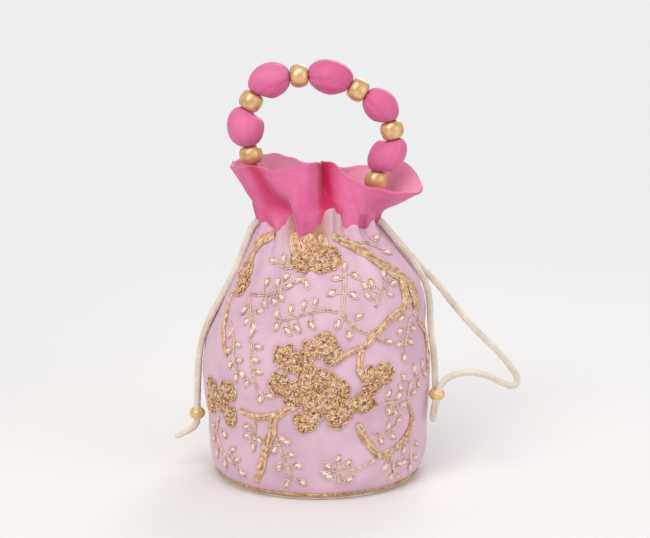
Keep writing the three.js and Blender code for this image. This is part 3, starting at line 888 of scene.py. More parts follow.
@dataclass
class Drawstrings:
    """The two drawstrings: what hangs on each side, the turns inside the neck and the stopper beads."""

    look: CordLook = field(default_factory=CordLook)
    form: BagForm = field(default_factory=BagForm)
    left_apart: float = 2.4
    left_lead: Table = ((-36.2, 167.4), (-39.4, 165.6))
    left_route: Table = (
        (-42.2, 162), (-45.3, 154), (-48.7, 145), (-52.6, 135), (-57.7, 125), (-63.1, 115), (-68.4, 105),
        (-72.8, 95), (-75.8, 85), (-77.4, 75), (-78.1, 64), (-78.6, 53), (-79, 42.7))
    left_stopper: Point = (-79, 0, 38)
    left_end: tuple[Point, ...] = (
        (-79.2, 0, 32.6), (-80.6, 0, 29.3), (-84, 0, 26.4), (-90, 0, 23.2), (-94.5, 0, 21.4))
    left_front_bore: tuple[Point, ...] = ((-79.0, -1.6, 38.0),)
    left_back_bore: tuple[Point, ...] = ((-79.0, 1.6, 38.0), (-79.1, 1.2, 34.2))
    right_short: tuple[Point, ...] = (
        (38.4, -2.7, 167.6), (41.8, -2.7, 165.6),
        (44.9, -2.7, 162), (51.7, -2.7, 154), (59.4, -2.8, 145), (66.2, -4.2, 135), (70.9, -5.6, 125),
        (72.9, -7.1, 115), (73.4, -8.7, 105), (74, -10.4, 95), (75.4, -13, 85), (76.2, -15.6, 75),
        (76.5, -17.2, 68), (76.7, -18, 61.2))
    right_loop: tuple[Point, ...] = (
        (38.4, 2.7, 167.6), (41.8, 2.7, 165.6),
        (44.9, 2.7, 162), (51.7, 2.7, 154), (59.5, 2.5, 145), (66.4, 1.5, 137.6), (73.5, 0, 130.5),
        (80, -2, 123.5), (87.5, -4, 114), (96.5, -6, 103.5), (107, -8, 92.5), (117.5, -9.5, 82.5),
        (126.5, -11, 71.6), (130.6, -11.6, 63.6), (128, -12.2, 59.6), (121.5, -13, 61.6), (111, -14.5, 67),
        (100.5, -16.5, 69.8), (90.5, -19, 69.4), (84, -21.5, 67), (80, -22.6, 62.9))
    right_stopper: Point = (77.6, -20.6, 56.5)
    right_end_front: tuple[Point, ...] = ((76.6, -22.8, 51.6), (75.6, -22.5, 46), (75, -22.2, 38.5))
    right_end_back: tuple[Point, ...] = ((77.6, -18.2, 51.6), (76.5, -17.8, 46), (76, -17.6, 38.5))
    right_short_bore: tuple[Point, ...] = ((77.2, -18.4, 56.5),)
    right_loop_bore: tuple[Point, ...] = ((78.0, -22.6, 56.5),)
    stopper_radius: float = 5.2
    stopper_half_height: float = 4.4
    turn_spacing: float = 4.8
    turn_drop: float = 1.0
    turn_clearance: float = 0.3
    left_end_taper: float = 0.8

    def tube(self, name: str, line: Array, closed: bool = False, taper: float = 1.0) -> Piece:
        """One cord as a closed mesh.

        Args:
            name: the object's name.
            line: points along it.
            closed: it joins its own start.
            taper: diameter at its far end as a share.
        Returns:
            The object.
        """
        shell = Shell()
        shell.add_cord(self.look, line, closed, taper)
        made = outward(shell.build(name, [Finish.CORD.material()]))
        return made

    def stopper(self, name: str, at: Point, node: str) -> Piece:
        """A stopper bead, a slightly flat ball with drawn-in holes.

        Args:
            name: the object's name.
            at: its middle.
            node: the solid that it stands for.
        Returns:
            The object.
        """
        bpy.ops.object.select_all(action="DESELECT")
        middle = Vector(at) * MM
        flatness = self.stopper_half_height / self.stopper_radius
        bpy.ops.mesh.primitive_uv_sphere_add(segments=40, ring_count=24, radius=self.stopper_radius * MM,
                                             location=middle, scale=(1.0, 1.0, flatness))
        made = bpy.context.active_object
        made.name = made.data.name = name
        bpy.ops.object.transform_apply(location=True, rotation=True, scale=True)
        bpy.ops.object.mode_set(mode="EDIT")
        select_ends(made, level=0.93)
        bpy.ops.mesh.inset(thickness=0.35 * MM, depth=-0.1 * MM)
        bpy.ops.mesh.inset(thickness=0.3 * MM, depth=-0.7 * MM)
        bpy.ops.mesh.select_all(action="SELECT")
        bpy.ops.object.mode_set(mode="OBJECT")
        bpy.ops.object.shade_smooth()
        made.data.materials.clear()
        made.data.materials.append(Finish.STOPPER.material())
        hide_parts(node)
        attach(made, "bag")
        return made

    def declare(self, made: Piece, nodes: Sequence[str]) -> None:
        """Attach one free cord to the bag and hide the solids that it stands for.

        Args:
            made: the cord.
            nodes: the solids that it stands for.
        """
        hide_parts(*nodes)
        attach(made, "bag")

    def build(self) -> None:
        """Make both drawstrings."""
        step = self.look.step
        left_bead = self.stopper("stopper_left", self.left_stopper, "left_stopper_bead")
        right_bead = self.stopper("stopper_right", self.right_stopper, "right_stopper_bead")
        front = [(x, -self.left_apart, z) for x, z in self.left_lead + self.left_route]
        back = [(x, -y, z) for x, y, z in front]
        line = curve_through([*front, *self.left_front_bore, *self.left_end], step)
        self.declare(self.tube("drawstring_left_front", line, taper=self.left_end_taper),
                     ["left_strand_front", "left_cord_end"])
        line = curve_through([*back, *self.left_back_bore], step)
        self.declare(self.tube("drawstring_left_back", line), ["left_strand_back"])
        line = curve_through([*self.right_short, *self.right_short_bore, *self.right_end_back], step)
        self.declare(self.tube("drawstring_right_short", line),
                     ["right_strand_short", "right_cord_end_back"])
        line = curve_through([*self.right_loop, *self.right_loop_bore, *self.right_end_front], step)
        self.declare(self.tube("drawstring_right_loop", line),
                     ["right_strand_loop", "right_cord_end_front"])
        upper = self.form.neck_height - self.turn_drop - self.look.diameter / 2
        for name, node, height in (("neck_cord_upper", "left_neck_turn", upper),
                                   ("neck_cord_lower", "right_neck_turn", upper - self.turn_spacing)):
            reach = (float(self.form.radius(height)) - self.form.pleat_depth - self.form.wall
                     - self.turn_clearance - self.look.diameter / 2)
            turn = turns(int(TAU * reach / step))
            ring = np.stack([float(self.form.lean(height)) + reach * np.cos(turn), reach * np.sin(turn),
                             np.full(len(turn), height)], axis=1)
            made = self.tube(name, ring, closed=True)
            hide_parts(node)
            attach(made, "bag")


@dataclass
class Pouch:
    """The bag's wall and its base."""

    form: BagForm = field(default_factory=BagForm)
    columns: int = 448
    outer_rows: int = 118
    inner_rows: int = 24
    casing_lap: float = 1.1
    casing_rows: int = 9
    casing_pull: float = 2.0
    casing_pull_rise: float = 5.0
    casing_puff: float = 0.7
    casing_length: float = 10.0
    map_radius: float = 70.0
    gathers_at: float = 262.0
    gathers_span: float = 26.0
    gathers_low: float = 154.0
    gathers_rise: float = 12.0
    hem_height: float = 1.9
    base_radius: float = 64.9
    base_thickness: float = 1.6
    base_roll: float = 1.0
    base_border: float = 3.6
    base_seam_width: float = 0.5
    base_seam_depth: float = 0.35
    braid_low: float = 2.0
    braid_tall: float = 2.3
    braid_stand: float = 0.3
    braid_columns: int = 360
    braid_stitches: int = 168
    braid_stitch: CordLook = field(default_factory=lambda: CordLook(0.8, sides=6, lay_length=4.0,
                                                                    groove=0.1))
    braid_cord: CordLook = field(default_factory=lambda: CordLook(0.85, sides=6, lay_length=2.6,
                                                                  groove=0.2))
    braid_cord_steps: int = 540
    braid_cord_inset: float = 0.25
    braid_cord_lift: float = 0.5

    def wall(self) -> Piece:
        """The satin wall, outer and inner face, with turned-in hem and top edge.

        Returns:
            The object.
        """
        turn = turns(self.columns)
        low, high = self.hem_height, self.form.neck_height
        share = np.linspace(0.0, 1.0, self.outer_rows)
        heights = low + (high - low) * (share ** 0.92)
        outer = self.form.point(turn[None, :], heights[:, None])
        share = np.linspace(0.0, 1.0, self.casing_rows + 1)[1:]
        rise = share[:, None] * (self.form.seam(turn) + self.casing_lap)[None, :]
        drawn = self.casing_pull * np.minimum(rise / self.casing_pull_rise, 1.0)
        drawn = drawn - self.casing_puff * np.sin(np.pi * share)[:, None]
        casing = self.form.point(turn[None, :], np.full((self.casing_rows, 1), high), -drawn)
        casing[..., 2] += rise
        outer = np.concatenate([outer, casing])
        heights = np.concatenate([heights, high + share * self.casing_length])
        inner_heights = np.linspace(high, low, self.inner_rows)
        inner = self.form.point(turn[None, :], inner_heights[:, None], -self.form.wall)
        top = casing[-1:] - unit(casing[-1:] * LEVEL) * self.form.wall * 0.5
        inner = np.concatenate([top, inner])
        run = np.concatenate([heights, [high + self.casing_length], inner_heights])
        shell = Shell()
        shell.add_grid(np.concatenate([outer, inner]), around=True, closed=True,
                       cloth=cloth_map(turn[None, :] * self.map_radius, run[:, None]))
        made = outward(shell.build("pouch_satin", [Finish.LILAC.material()]))
        self.mark_gathers_gold_and_shade(made)
        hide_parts("bag_body")
        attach(made, "bag")
        TAU * self.form.girth() * MM
        return made

    def mark_gathers_gold_and_shade(self, made: Piece) -> None:
        """Mark the gathers at the front of the neck, where close gold stitching shows between the pleats,
        deepened in the pleats' valleys as painted shade.

        Args:
            made: the wall.
        """
        where = spots(made)
        angle = np.arctan2(where[:, 1], where[:, 0] - self.form.lean(where[:, 2]))
        front = np.exp(-((np.degrees(angle) % 360.0 - self.gathers_at) / self.gathers_span) ** 2)
        valley_shade = 0.5 - 0.5 * np.cos(self.form.pleats * angle)
        rise = np.clip((where[:, 2] - self.gathers_low) / self.gathers_rise, 0.0, 1.0)
        # The mark gives the stitching's brown gold, and is stronger in the valleys between pleats as
        # painted shade.
        mark(made, "fold", np.clip(front * rise * (0.6 + 0.9 * valley_shade), 0.0, 1.0))

    def base(self) -> Piece:
        """The stiff base: a disc with a rolled edge and a sewn ring under it.

        Returns:
            The object.
        """
        bpy.ops.object.select_all(action="DESELECT")
        thick = self.base_thickness * MM
        bpy.ops.mesh.primitive_cylinder_add(vertices=128, radius=self.base_radius * MM, depth=thick,
                                            location=(0.0, 0.0, thick / 2))
        made = bpy.context.active_object
        made.name = made.data.name = "base_cloth"
        bpy.ops.object.mode_set(mode="EDIT")
        select_ends(made, level=0.9)
        for width, depth in ((self.base_border, 0.0), (self.base_seam_width, -self.base_seam_depth),
                             (self.base_seam_width, self.base_seam_depth)):
            bpy.ops.mesh.inset(thickness=width * MM, depth=depth * MM)
        bpy.ops.object.mode_set(mode="OBJECT")
        edge = made.modifiers.new("rolled_edge", "BEVEL")
        edge.width, edge.segments = self.base_roll * MM, 4
        edge.limit_method, edge.angle_limit = "ANGLE", math.radians(60)
        bpy.ops.object.modifier_apply(modifier=edge.name)
        bpy.ops.object.transform_apply(location=True, rotation=True, scale=True)
        bpy.ops.object.shade_smooth_by_angle(angle=math.radians(35))
        made.data.materials.clear()
        made.data.materials.append(Finish.BACKING.material())
        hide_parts("base_panel")
        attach(made, "bag")
        return made

    def braid(self) -> Piece:
        """The gold braid sewn around the hem: a band with slanting raised stitches and two edge cords.

        Returns:
            The object.
        """
        shell = Shell()
        low, tall, count = self.braid_low, self.braid_tall, self.braid_stitches
        turn = turns(self.braid_columns)
        run = np.linspace(0.0, 1.0, 9)
        heights = low + tall * (0.5 - 0.5 * np.cos(np.pi * run))
        swell = 0.35 + self.braid_stand * np.sin(np.pi * run)
        outer = self.form.point(turn[None, :], heights[:, None], swell[:, None])
        inner = self.form.point(turn[None, :], np.array([low + tall, low])[:, None], 0.2)
        shell.add_grid(np.concatenate([outer, inner]), around=True, closed=True)
        stitches = np.linspace(-1.0, 1.0, 7)
        height = low + tall / 2 + stitches * tall * 0.43
        over = 0.35 + 0.75 * np.sqrt(1.0 - 0.9 * stitches ** 2)
        for k in range(count):
            lean = 0.62 if k % 2 else -0.62
            angle = (k + 0.5) * TAU / count + stitches * lean * TAU / count
            shell.add_cord(self.braid_stitch, self.form.point(angle, height, over))
        fine = turns(self.braid_cord_steps)
        for height in (low + self.braid_cord_inset, low + tall - self.braid_cord_inset):
            line = self.form.point(fine, np.full(len(fine), height), self.braid_cord_lift)
            shell.add_cord(self.braid_cord, line, closed=True)
        made = shell.build("hem_braid", [Finish.GOLD_THREAD.material()])
        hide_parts("base_trim")
        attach(made, "bag")
        return made

    def build(self) -> None:
        """Make the wall, the base and the braid."""
        for piece in (self.wall(), self.base(), self.braid()):
            report(piece)


@dataclass
class Frill:
    """The flared satin frill above the neck."""

    thickness: float = 1.3
    foot_height: float = 166.3
    foot_radius: float = 36.2
    bulge: float = 2.0
    pleats: int = 14
    pleat_depth: float = 2.6
    pleat_fade: float = 0.55
    columns: int = 560
    rows: int = 40
    swell_power: float = 0.6
    folds: Table = (
        (6, 67, 23, 0), (24, 60, 36, 2), (46, 44, 31, -2), (70, 25, 31, -3), (100, 38, 32, 2),
        (126, 45, 38, -2),
        (150, 50, 38, 2), (172, 54, 37, 0), (190, 55, 36, 2), (200, 50.5, 37.6, 3), (210, 46, 39, -4),
        (227, 41, 37, 4), (242, 34, 39, 5), (257, 33, 42, 4), (269, 23, 41, 0), (281, 14, 40, -6),
        (298, 21, 40, -1),
        (316, 36, 29, 3), (334, 49, 23, 0), (350, 63, 20, 0))
    slant: float = 31.0
    slant_at: float = 238.0
    slant_span: float = 36.0
    hem_swell: float = 0.55
    hem_share: float = 0.035
    lip_steps: int = 5
    map_height: float = 45.0
    map_radius: float = 50.0
    # Share of the way up from which the inward face gets painted light.
    painted_light_from: float = 0.35
    form: BagForm = field(default_factory=BagForm)

    def rim(self, angle: Array, key: int) -> Array:
        """Reach (1), rise (2) or swell (3) of the frill at an angle."""
        return around_table(self.folds, key, angle)

    def fold_angle(self, angle: Array, part: Array) -> Array:
        """Angle at the rim of the fold through a point, since the folds at the left front run aslant.

        Args:
            angle: the point's own angle.
            part: 0 at the neck, 1 at the rim.
        Returns:
            The fold's angle.
        """
        off = np.clip((np.degrees(angle) % 360.0 - self.slant_at) / self.slant_span, -1.0, 1.0)
        return angle - np.radians(self.slant) * np.cos(np.pi * off / 2) ** 2 * (1.0 - np.clip(part, 0.0,
                                                                                              1.0))

    def middle(self, angle: Array, part: Array) -> Array:
        """Point of the cloth's middle, with part 0 at the neck and 1 at the rim.

        Args:
            angle: around the neck.
            part: share of the way up.
        Returns:
            The points.
        """
        angle, part = np.broadcast_arrays(angle, part)
        fade = np.maximum(0.0, 1.0 - part / self.pleat_fade) ** 2
        wave = np.cos(self.pleats * angle) + 0.25 * np.cos(2 * self.pleats * angle + 0.9)
        gather = self.pleat_depth * 0.75 * fade * wave
        fine = np.cos(3 * self.pleats * angle + 1.7 * np.sin(2 * angle))
        fine = 0.6 * np.maximum(0.0, 1.0 - part / 0.8) ** 2 * fine
        free = np.sin(np.pi * np.clip(part, 0, 1)) ** 2
        flute = part ** 1.6 * (0.7 * np.sin(11 * angle + 0.6) + 0.4 * np.sin(19 * angle + 2.0 + part))
        wrinkle = free * (0.7 * np.sin(7 * angle + 3.0 * part) + 0.35 * np.sin(29 * angle + 5 * part))
        swell = np.maximum(0.0, np.sin(np.pi * np.maximum(part, 0.0) ** self.swell_power))
        swell = self.rim(self.fold_angle(angle, part), 3) * swell
        raised = self.form.seam(angle)
        overhang = (3.0 - 0.12 * raised) * np.exp(-(part / 0.2) ** 2)
        reach = (self.foot_radius + (self.rim(angle, 1) - self.foot_radius) * part
                 - self.bulge * np.sin(np.pi * part) + gather + fine + flute + wrinkle + swell + overhang)
        height = self.foot_height + self.rim(angle, 2) * part + 0.4 * part ** 2 * np.sin(23 * angle + 1.0)
        height = height + raised * (1.0 - np.clip(part, 0.0, 1.0)) ** 2.2
        return np.stack([reach * np.cos(angle), reach * np.sin(angle), height], axis=-1)

    def normal(self, angle: Array, part: Array) -> Array:
        """Direction out of the outer face.

        Args:
            angle, part: places on the cloth.
        Returns:
            The directions.
        """
        around = self.middle(angle + 0.006, part) - self.middle(angle - 0.006, part)
        upward = self.middle(angle, part + 0.01) - self.middle(angle, part - 0.01)
        return unit(np.cross(around, upward))

    def shade_folds(self, made: Piece) -> None:
        """Mark how deep each point lies between the folds beside it, as painted shade, and which points
        face inwards, as painted light.

        Args:
            made: the frill.
        """
        steps = np.radians(np.arange(0, 360, 3))
        reach = self.rim(steps, 1) + 1.6 * self.rim(steps, 3)
        spread = np.exp(-(np.radians(np.arange(-60, 61, 3)) / 0.42) ** 2)
        mean = np.convolve(np.concatenate([reach[-20:], reach, reach[:20]]), spread / spread.sum(), "valid")
        deep = np.clip((mean - reach - 0.8) / 8.0, 0.0, 1.0)
        where = spots(made)
        angle = np.arctan2(where[:, 1], where[:, 0])
        foot = self.form.seam(angle)
        part = (where[:, 2] - self.foot_height - foot) / (self.rim(angle, 2) - foot)
        at = np.degrees(self.fold_angle(angle, part)) % 360.0
        value = np.interp(at, np.degrees(steps), deep, period=360.0)
        # Painted shade: the deeper a point lies between its neighbouring folds, the more the satin is
        # darkened toward the fold colour.
        mark(made, "fold", value * np.clip((where[:, 2] - self.foot_height - 4.0) / 10.0, 0.0, 1.0))
        facing = np.array([vertex.normal for vertex in made.data.vertices])
        inward = (facing[:, :2] * where[:, :2]).sum(axis=1) < 0.0
        # Painted light: the inward face of the upper frill is marked to be lightened.
        mark(made, "painted_inner_light", np.where(inward & (part > self.painted_light_from), 1.0, 0.0))

    def build(self) -> Piece:
        """Make the frill with a narrow rolled hem along its rim.

        Returns:
            The object.
        """
        turn = turns(self.columns)[None, :]
        parts = np.linspace(0.0, 1.0, self.rows)[:, None]
        half = self.thickness / 2 * (1.0 + self.hem_swell * np.exp(-((1.0 - parts) / self.hem_share) ** 2))
        middle, normal = self.middle(turn, parts), self.normal(turn, parts)
        normal = unit(np.where((parts == 0.0)[..., None], unit(normal * LEVEL), normal))
        outer = middle + normal * half[..., None]
        inner = middle - normal * half[..., None]
        edge_way = unit(self.middle(turn, np.array([[1.0]])) - self.middle(turn, np.array([[0.96]])))
        lip = []
        for bend in np.linspace(0.0, np.pi, self.lip_steps + 2)[1:-1]:
            out, over = half[-1, 0] * np.cos(bend), half[-1, 0] * np.sin(bend)
            lip.append(middle[-1:] + normal[-1:] * out + edge_way * over)
        up = parts[:, 0] * self.map_height
        run = np.concatenate([up, self.map_height + np.arange(1, self.lip_steps + 1) * 0.3,
                              self.map_height + 2.0 + up])
        shell = Shell()
        shell.add_grid(np.concatenate([outer, *lip, inner[::-1]]), around=True, closed=True,
                       cloth=cloth_map(turn * self.map_radius, run[:, None]))
        made = outward(shell.build("frill_satin", [Finish.PINK.material()]))
        self.shade_folds(made)
        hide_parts("frill")
        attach(made, "bag")
        rim = self.middle(np.linspace(0, TAU, 361), np.ones(361))
        return made


@dataclass
class Handle:
    """The carrying handle: a fabric tube over balls, with gold beads between them."""

    waist: float = 2.9
    bead_radius: float = 7.6
    bead_half: float = 5.6
    bead_hole: float = 3.9
    gap: float = 0.3
    roundness: float = 0.62
    sides: int = 84
    sewn_in: float = 1.2
    waist_rows: int = 6
    end_rows: int = 16
    waist_limit: float = 3.5
    map_radius: float = 9.0
    bead_corners: int = 28
    bead_steps: int = 56
    bead_crown: float = 0.5
    left: Point = (-35.8, 0.0, 173.0)
    right: Point = (41.3, 0.0, 175.2)
    string: Table = (
        (-42.3, 209.6), (-44.1, 226.9, 11.9), (-42, 244.2), (-29.3, 255, 11.4), (-11.4, 260.2),
        (8.3, 257.7, 11),
        (26.1, 251.3), (37, 239.8, 10.4), (47.9, 225.6), (45, 209.2, 10.8), (38, 193.4))

    def __post_init__(self) -> None:
        """Settle the string's points and its ends."""
        self.points = [np.array([knot[0], 0.0, knot[1]]) for knot in self.string]
        self.left, self.right = np.array(self.left), np.array(self.right)

    def way(self, i: int) -> Array:
        """Direction of the string through one of its pieces.

        Args:
            i: the piece's place in the string.
        Returns:
            The direction.
        """
        before = self.points[i - 1] if i > 0 else self.left
        after = self.points[i + 1] if i + 1 < len(self.points) else self.right
        return unit(after - before)

    def face(self, i: int, side: int) -> Array:
        """Middle of a gold bead's end face, just off it."""
        return self.points[i] + self.way(i) * side * (self.bead_half + self.gap)

    def ball(self, i: int, steps: int = 40) -> tuple[Array, Array, Array]:
        """Rings of one covered ball.

        Args:
            i: its place in the string.
            steps: rings along it.
        Returns:
            The middles, the directions and the radii.
        """
        start, end = self.face(i - 1, 1), self.face(i + 1, -1)
        third = np.linalg.norm(end - start) / 3
        p1, p2 = start + self.way(i - 1) * third, end - self.way(i + 1) * third
        along = -np.cos(np.pi * np.arange(steps + 1) / steps)
        t = ((along + 1) / 2)[:, None]
        s = 1 - t
        centre = s ** 3 * start + 3 * s * s * t * p1 + 3 * s * t * t * p2 + t ** 3 * end
        way = unit(3 * s * s * (p1 - start) + 6 * s * t * (p2 - p1) + 3 * t * t * (end - p2))
        swell = np.maximum(0.0, 1.0 - along * along) ** self.roundness
        return centre, way, self.waist + (self.string[i][2] - self.waist) * swell

    def fabric(self) -> Piece:
        """The tube of satin with gathers at both ends of each ball.

        Returns:
            The object.
        """
        middles, ways, radii, pleats = [], [], [], []

        def stretch(a: Array, b: Array, way_a: Array, way_b: Array, count: int) -> None:
            """A plain length of tube between two points.

            Args:
                a, b: its ends.
                way_a, way_b: the directions there.
                count: its rings.
            """
            for k in range(count):
                t = k / count
                middles.append(a * (1 - t) + b * t)
                ways.append(unit(way_a * (1 - t) + way_b * t))
                radii.append(self.waist * (1.0 + 0.1 * math.sin(9.0 * t)))
                pleats.append(0.35)

        last = len(self.points) - 1
        left_way = unit(self.face(0, -1) - self.left)
        right_way = unit(self.right - self.face(last, 1))
        stretch(self.left - left_way * self.sewn_in, self.left, left_way, left_way, 3)
        stretch(self.left, self.face(0, -1), left_way, self.way(0), self.end_rows)
        for i in range(1, last, 2):
            stretch(self.face(i - 1, -1), self.face(i - 1, 1), self.way(i - 1), self.way(i - 1),
                    self.waist_rows)
            centre, way, radius = self.ball(i)
            for k in range(len(centre) - 1):
                share = k / (len(centre) - 1)
                middles.append(centre[k])
                ways.append(way[k])
                radii.append(radius[k])
                pleats.append(1.0 - math.sin(math.pi * share) ** 0.7 * 0.88)
        stretch(self.face(last, -1), self.face(last, 1), self.way(last), self.way(last), self.waist_rows)
        stretch(self.face(last, 1), self.right, self.way(last), right_way, self.end_rows)
        stretch(self.right, self.right + right_way * self.sewn_in, right_way, right_way, 3)
        middle, way, radius, pleat = (np.array(v) for v in (middles, ways, radii, pleats))
        turn = turns(self.sides)
        sideways = np.array([0.0, 1.0, 0.0])
        out = unit(np.cross(sideways, way))
        run = run_along(middle)
        folds = np.cos(12 * turn[None, :] + 0.8 * np.sin(run[:, None] / 17.0) + np.sin(2 * turn)[None, :])
        folds = folds + 0.45 * np.cos(7 * turn[None, :] + run[:, None] / 9.0)
        swell = np.clip((radius - self.waist) / 8.0, 0.0, 1.0)
        depth = pleat * (0.28 + 1.9 * swell) * 0.6
        soft = 0.18 * swell[:, None] * np.sin(3 * turn[None, :] + run[:, None] / 4.0)
        reach = radius[:, None] + depth[:, None] * (folds - 0.5) + soft
        reach = np.where(swell[:, None] < 0.02, np.minimum(reach, self.waist_limit), reach)
        grid = sweep(middle, out, sideways, reach, turn)
        shell = Shell()
        shell.add_grid(grid, around=True, cloth=cloth_map(turn[None, :] * self.map_radius, run[:, None]),
                       caps=True)
        made = outward(shell.build("handle_satin", [Finish.PINK.material()]))
        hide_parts("handle_fabric")
        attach(made, "handle")
        return made

    def bead_pattern(self) -> Piece:
        """One gold bead along Z, spun from its section, with a rolled lip at each hole.

        Returns:
            The object, to be copied.
        """
        bpy.ops.object.select_all(action="DESELECT")
        inner, half = self.bead_hole, self.bead_half
        middle = inner + self.bead_crown
        bpy.ops.mesh.primitive_circle_add(vertices=self.bead_corners, radius=half * MM,
                                          location=(middle * MM, 0.0, 0.0),
                                          rotation=(math.pi / 2, 0.0, 0.0))
        made = bpy.context.active_object
        bpy.ops.object.transform_apply(location=True, rotation=True, scale=True)
        bpy.ops.object.mode_set(mode="EDIT")
        work = bmesh.from_edit_mesh(made.data)
        for vertex in work.verts:
            across = (vertex.co.x / MM - middle) / half
            wide = (self.bead_radius - middle) if across > 0 else (middle - inner)
            square = math.copysign(abs(across) ** (0.9 if across > 0 else 0.35), across)
            vertex.co.x = (middle + square * wide) * MM
        bmesh.update_edit_mesh(made.data)
        bpy.ops.mesh.select_all(action="SELECT")
        bpy.ops.mesh.spin(steps=self.bead_steps, angle=TAU, center=ORIGIN, axis=tuple(UP))
        bpy.ops.mesh.select_all(action="SELECT")
        bpy.ops.mesh.remove_doubles(threshold=0.00002)
        bpy.ops.mesh.normals_make_consistent(inside=False)
        bpy.ops.object.mode_set(mode="OBJECT")
        bpy.ops.object.shade_smooth()
        return made

    def beads(self) -> None:
        """Six gold beads, each a copy of one pattern with its own mesh."""
        pattern = self.bead_pattern()
        for number, i in enumerate(range(0, len(self.points), 2), start=1):
            made = pattern.copy()
            made.data = pattern.data.copy()
            made.name = made.data.name = f"handle_bead_{number}"
            bpy.context.scene.collection.objects.link(made)
            turn = Vector(UP).rotation_difference(Vector(self.way(i))).to_matrix().to_4x4()
            made.data.transform(Matrix.Translation(Vector(self.points[i]) * MM) @ turn)
            made.data.materials.clear()
            made.data.materials.append(Finish.GOLD_BEAD.material())
            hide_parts(f"gold_bead_{number}")
            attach(made, f"bead_{number}")
            report(made)
        bpy.data.objects.remove(pattern)

    def build(self) -> None:
        """Make the fabric tube and its beads."""
        report(self.fabric())
        self.beads()


@dataclass
class Sprig:
    """A thin stem with looped buds: at stated places, or in pairs along it."""

    points: Table
    buds: Table = ()
    pairs: int = 0


@dataclass
class Branch:
    """A bundle of couched gold strands along a line, or fanned over a wide patch."""

    points: Table
    width: float = 5.0
    end_width: float = 0.0


@dataclass
class Run:
    """One connected run of embroidery, in millimetres across and up as seen from the front."""

    node: str
    side: int
    branches: tuple[Branch, ...] = ()
    stems: tuple[Table, ...] = ()
    sprigs: tuple[Sprig, ...] = ()
    blossoms: Table = ()


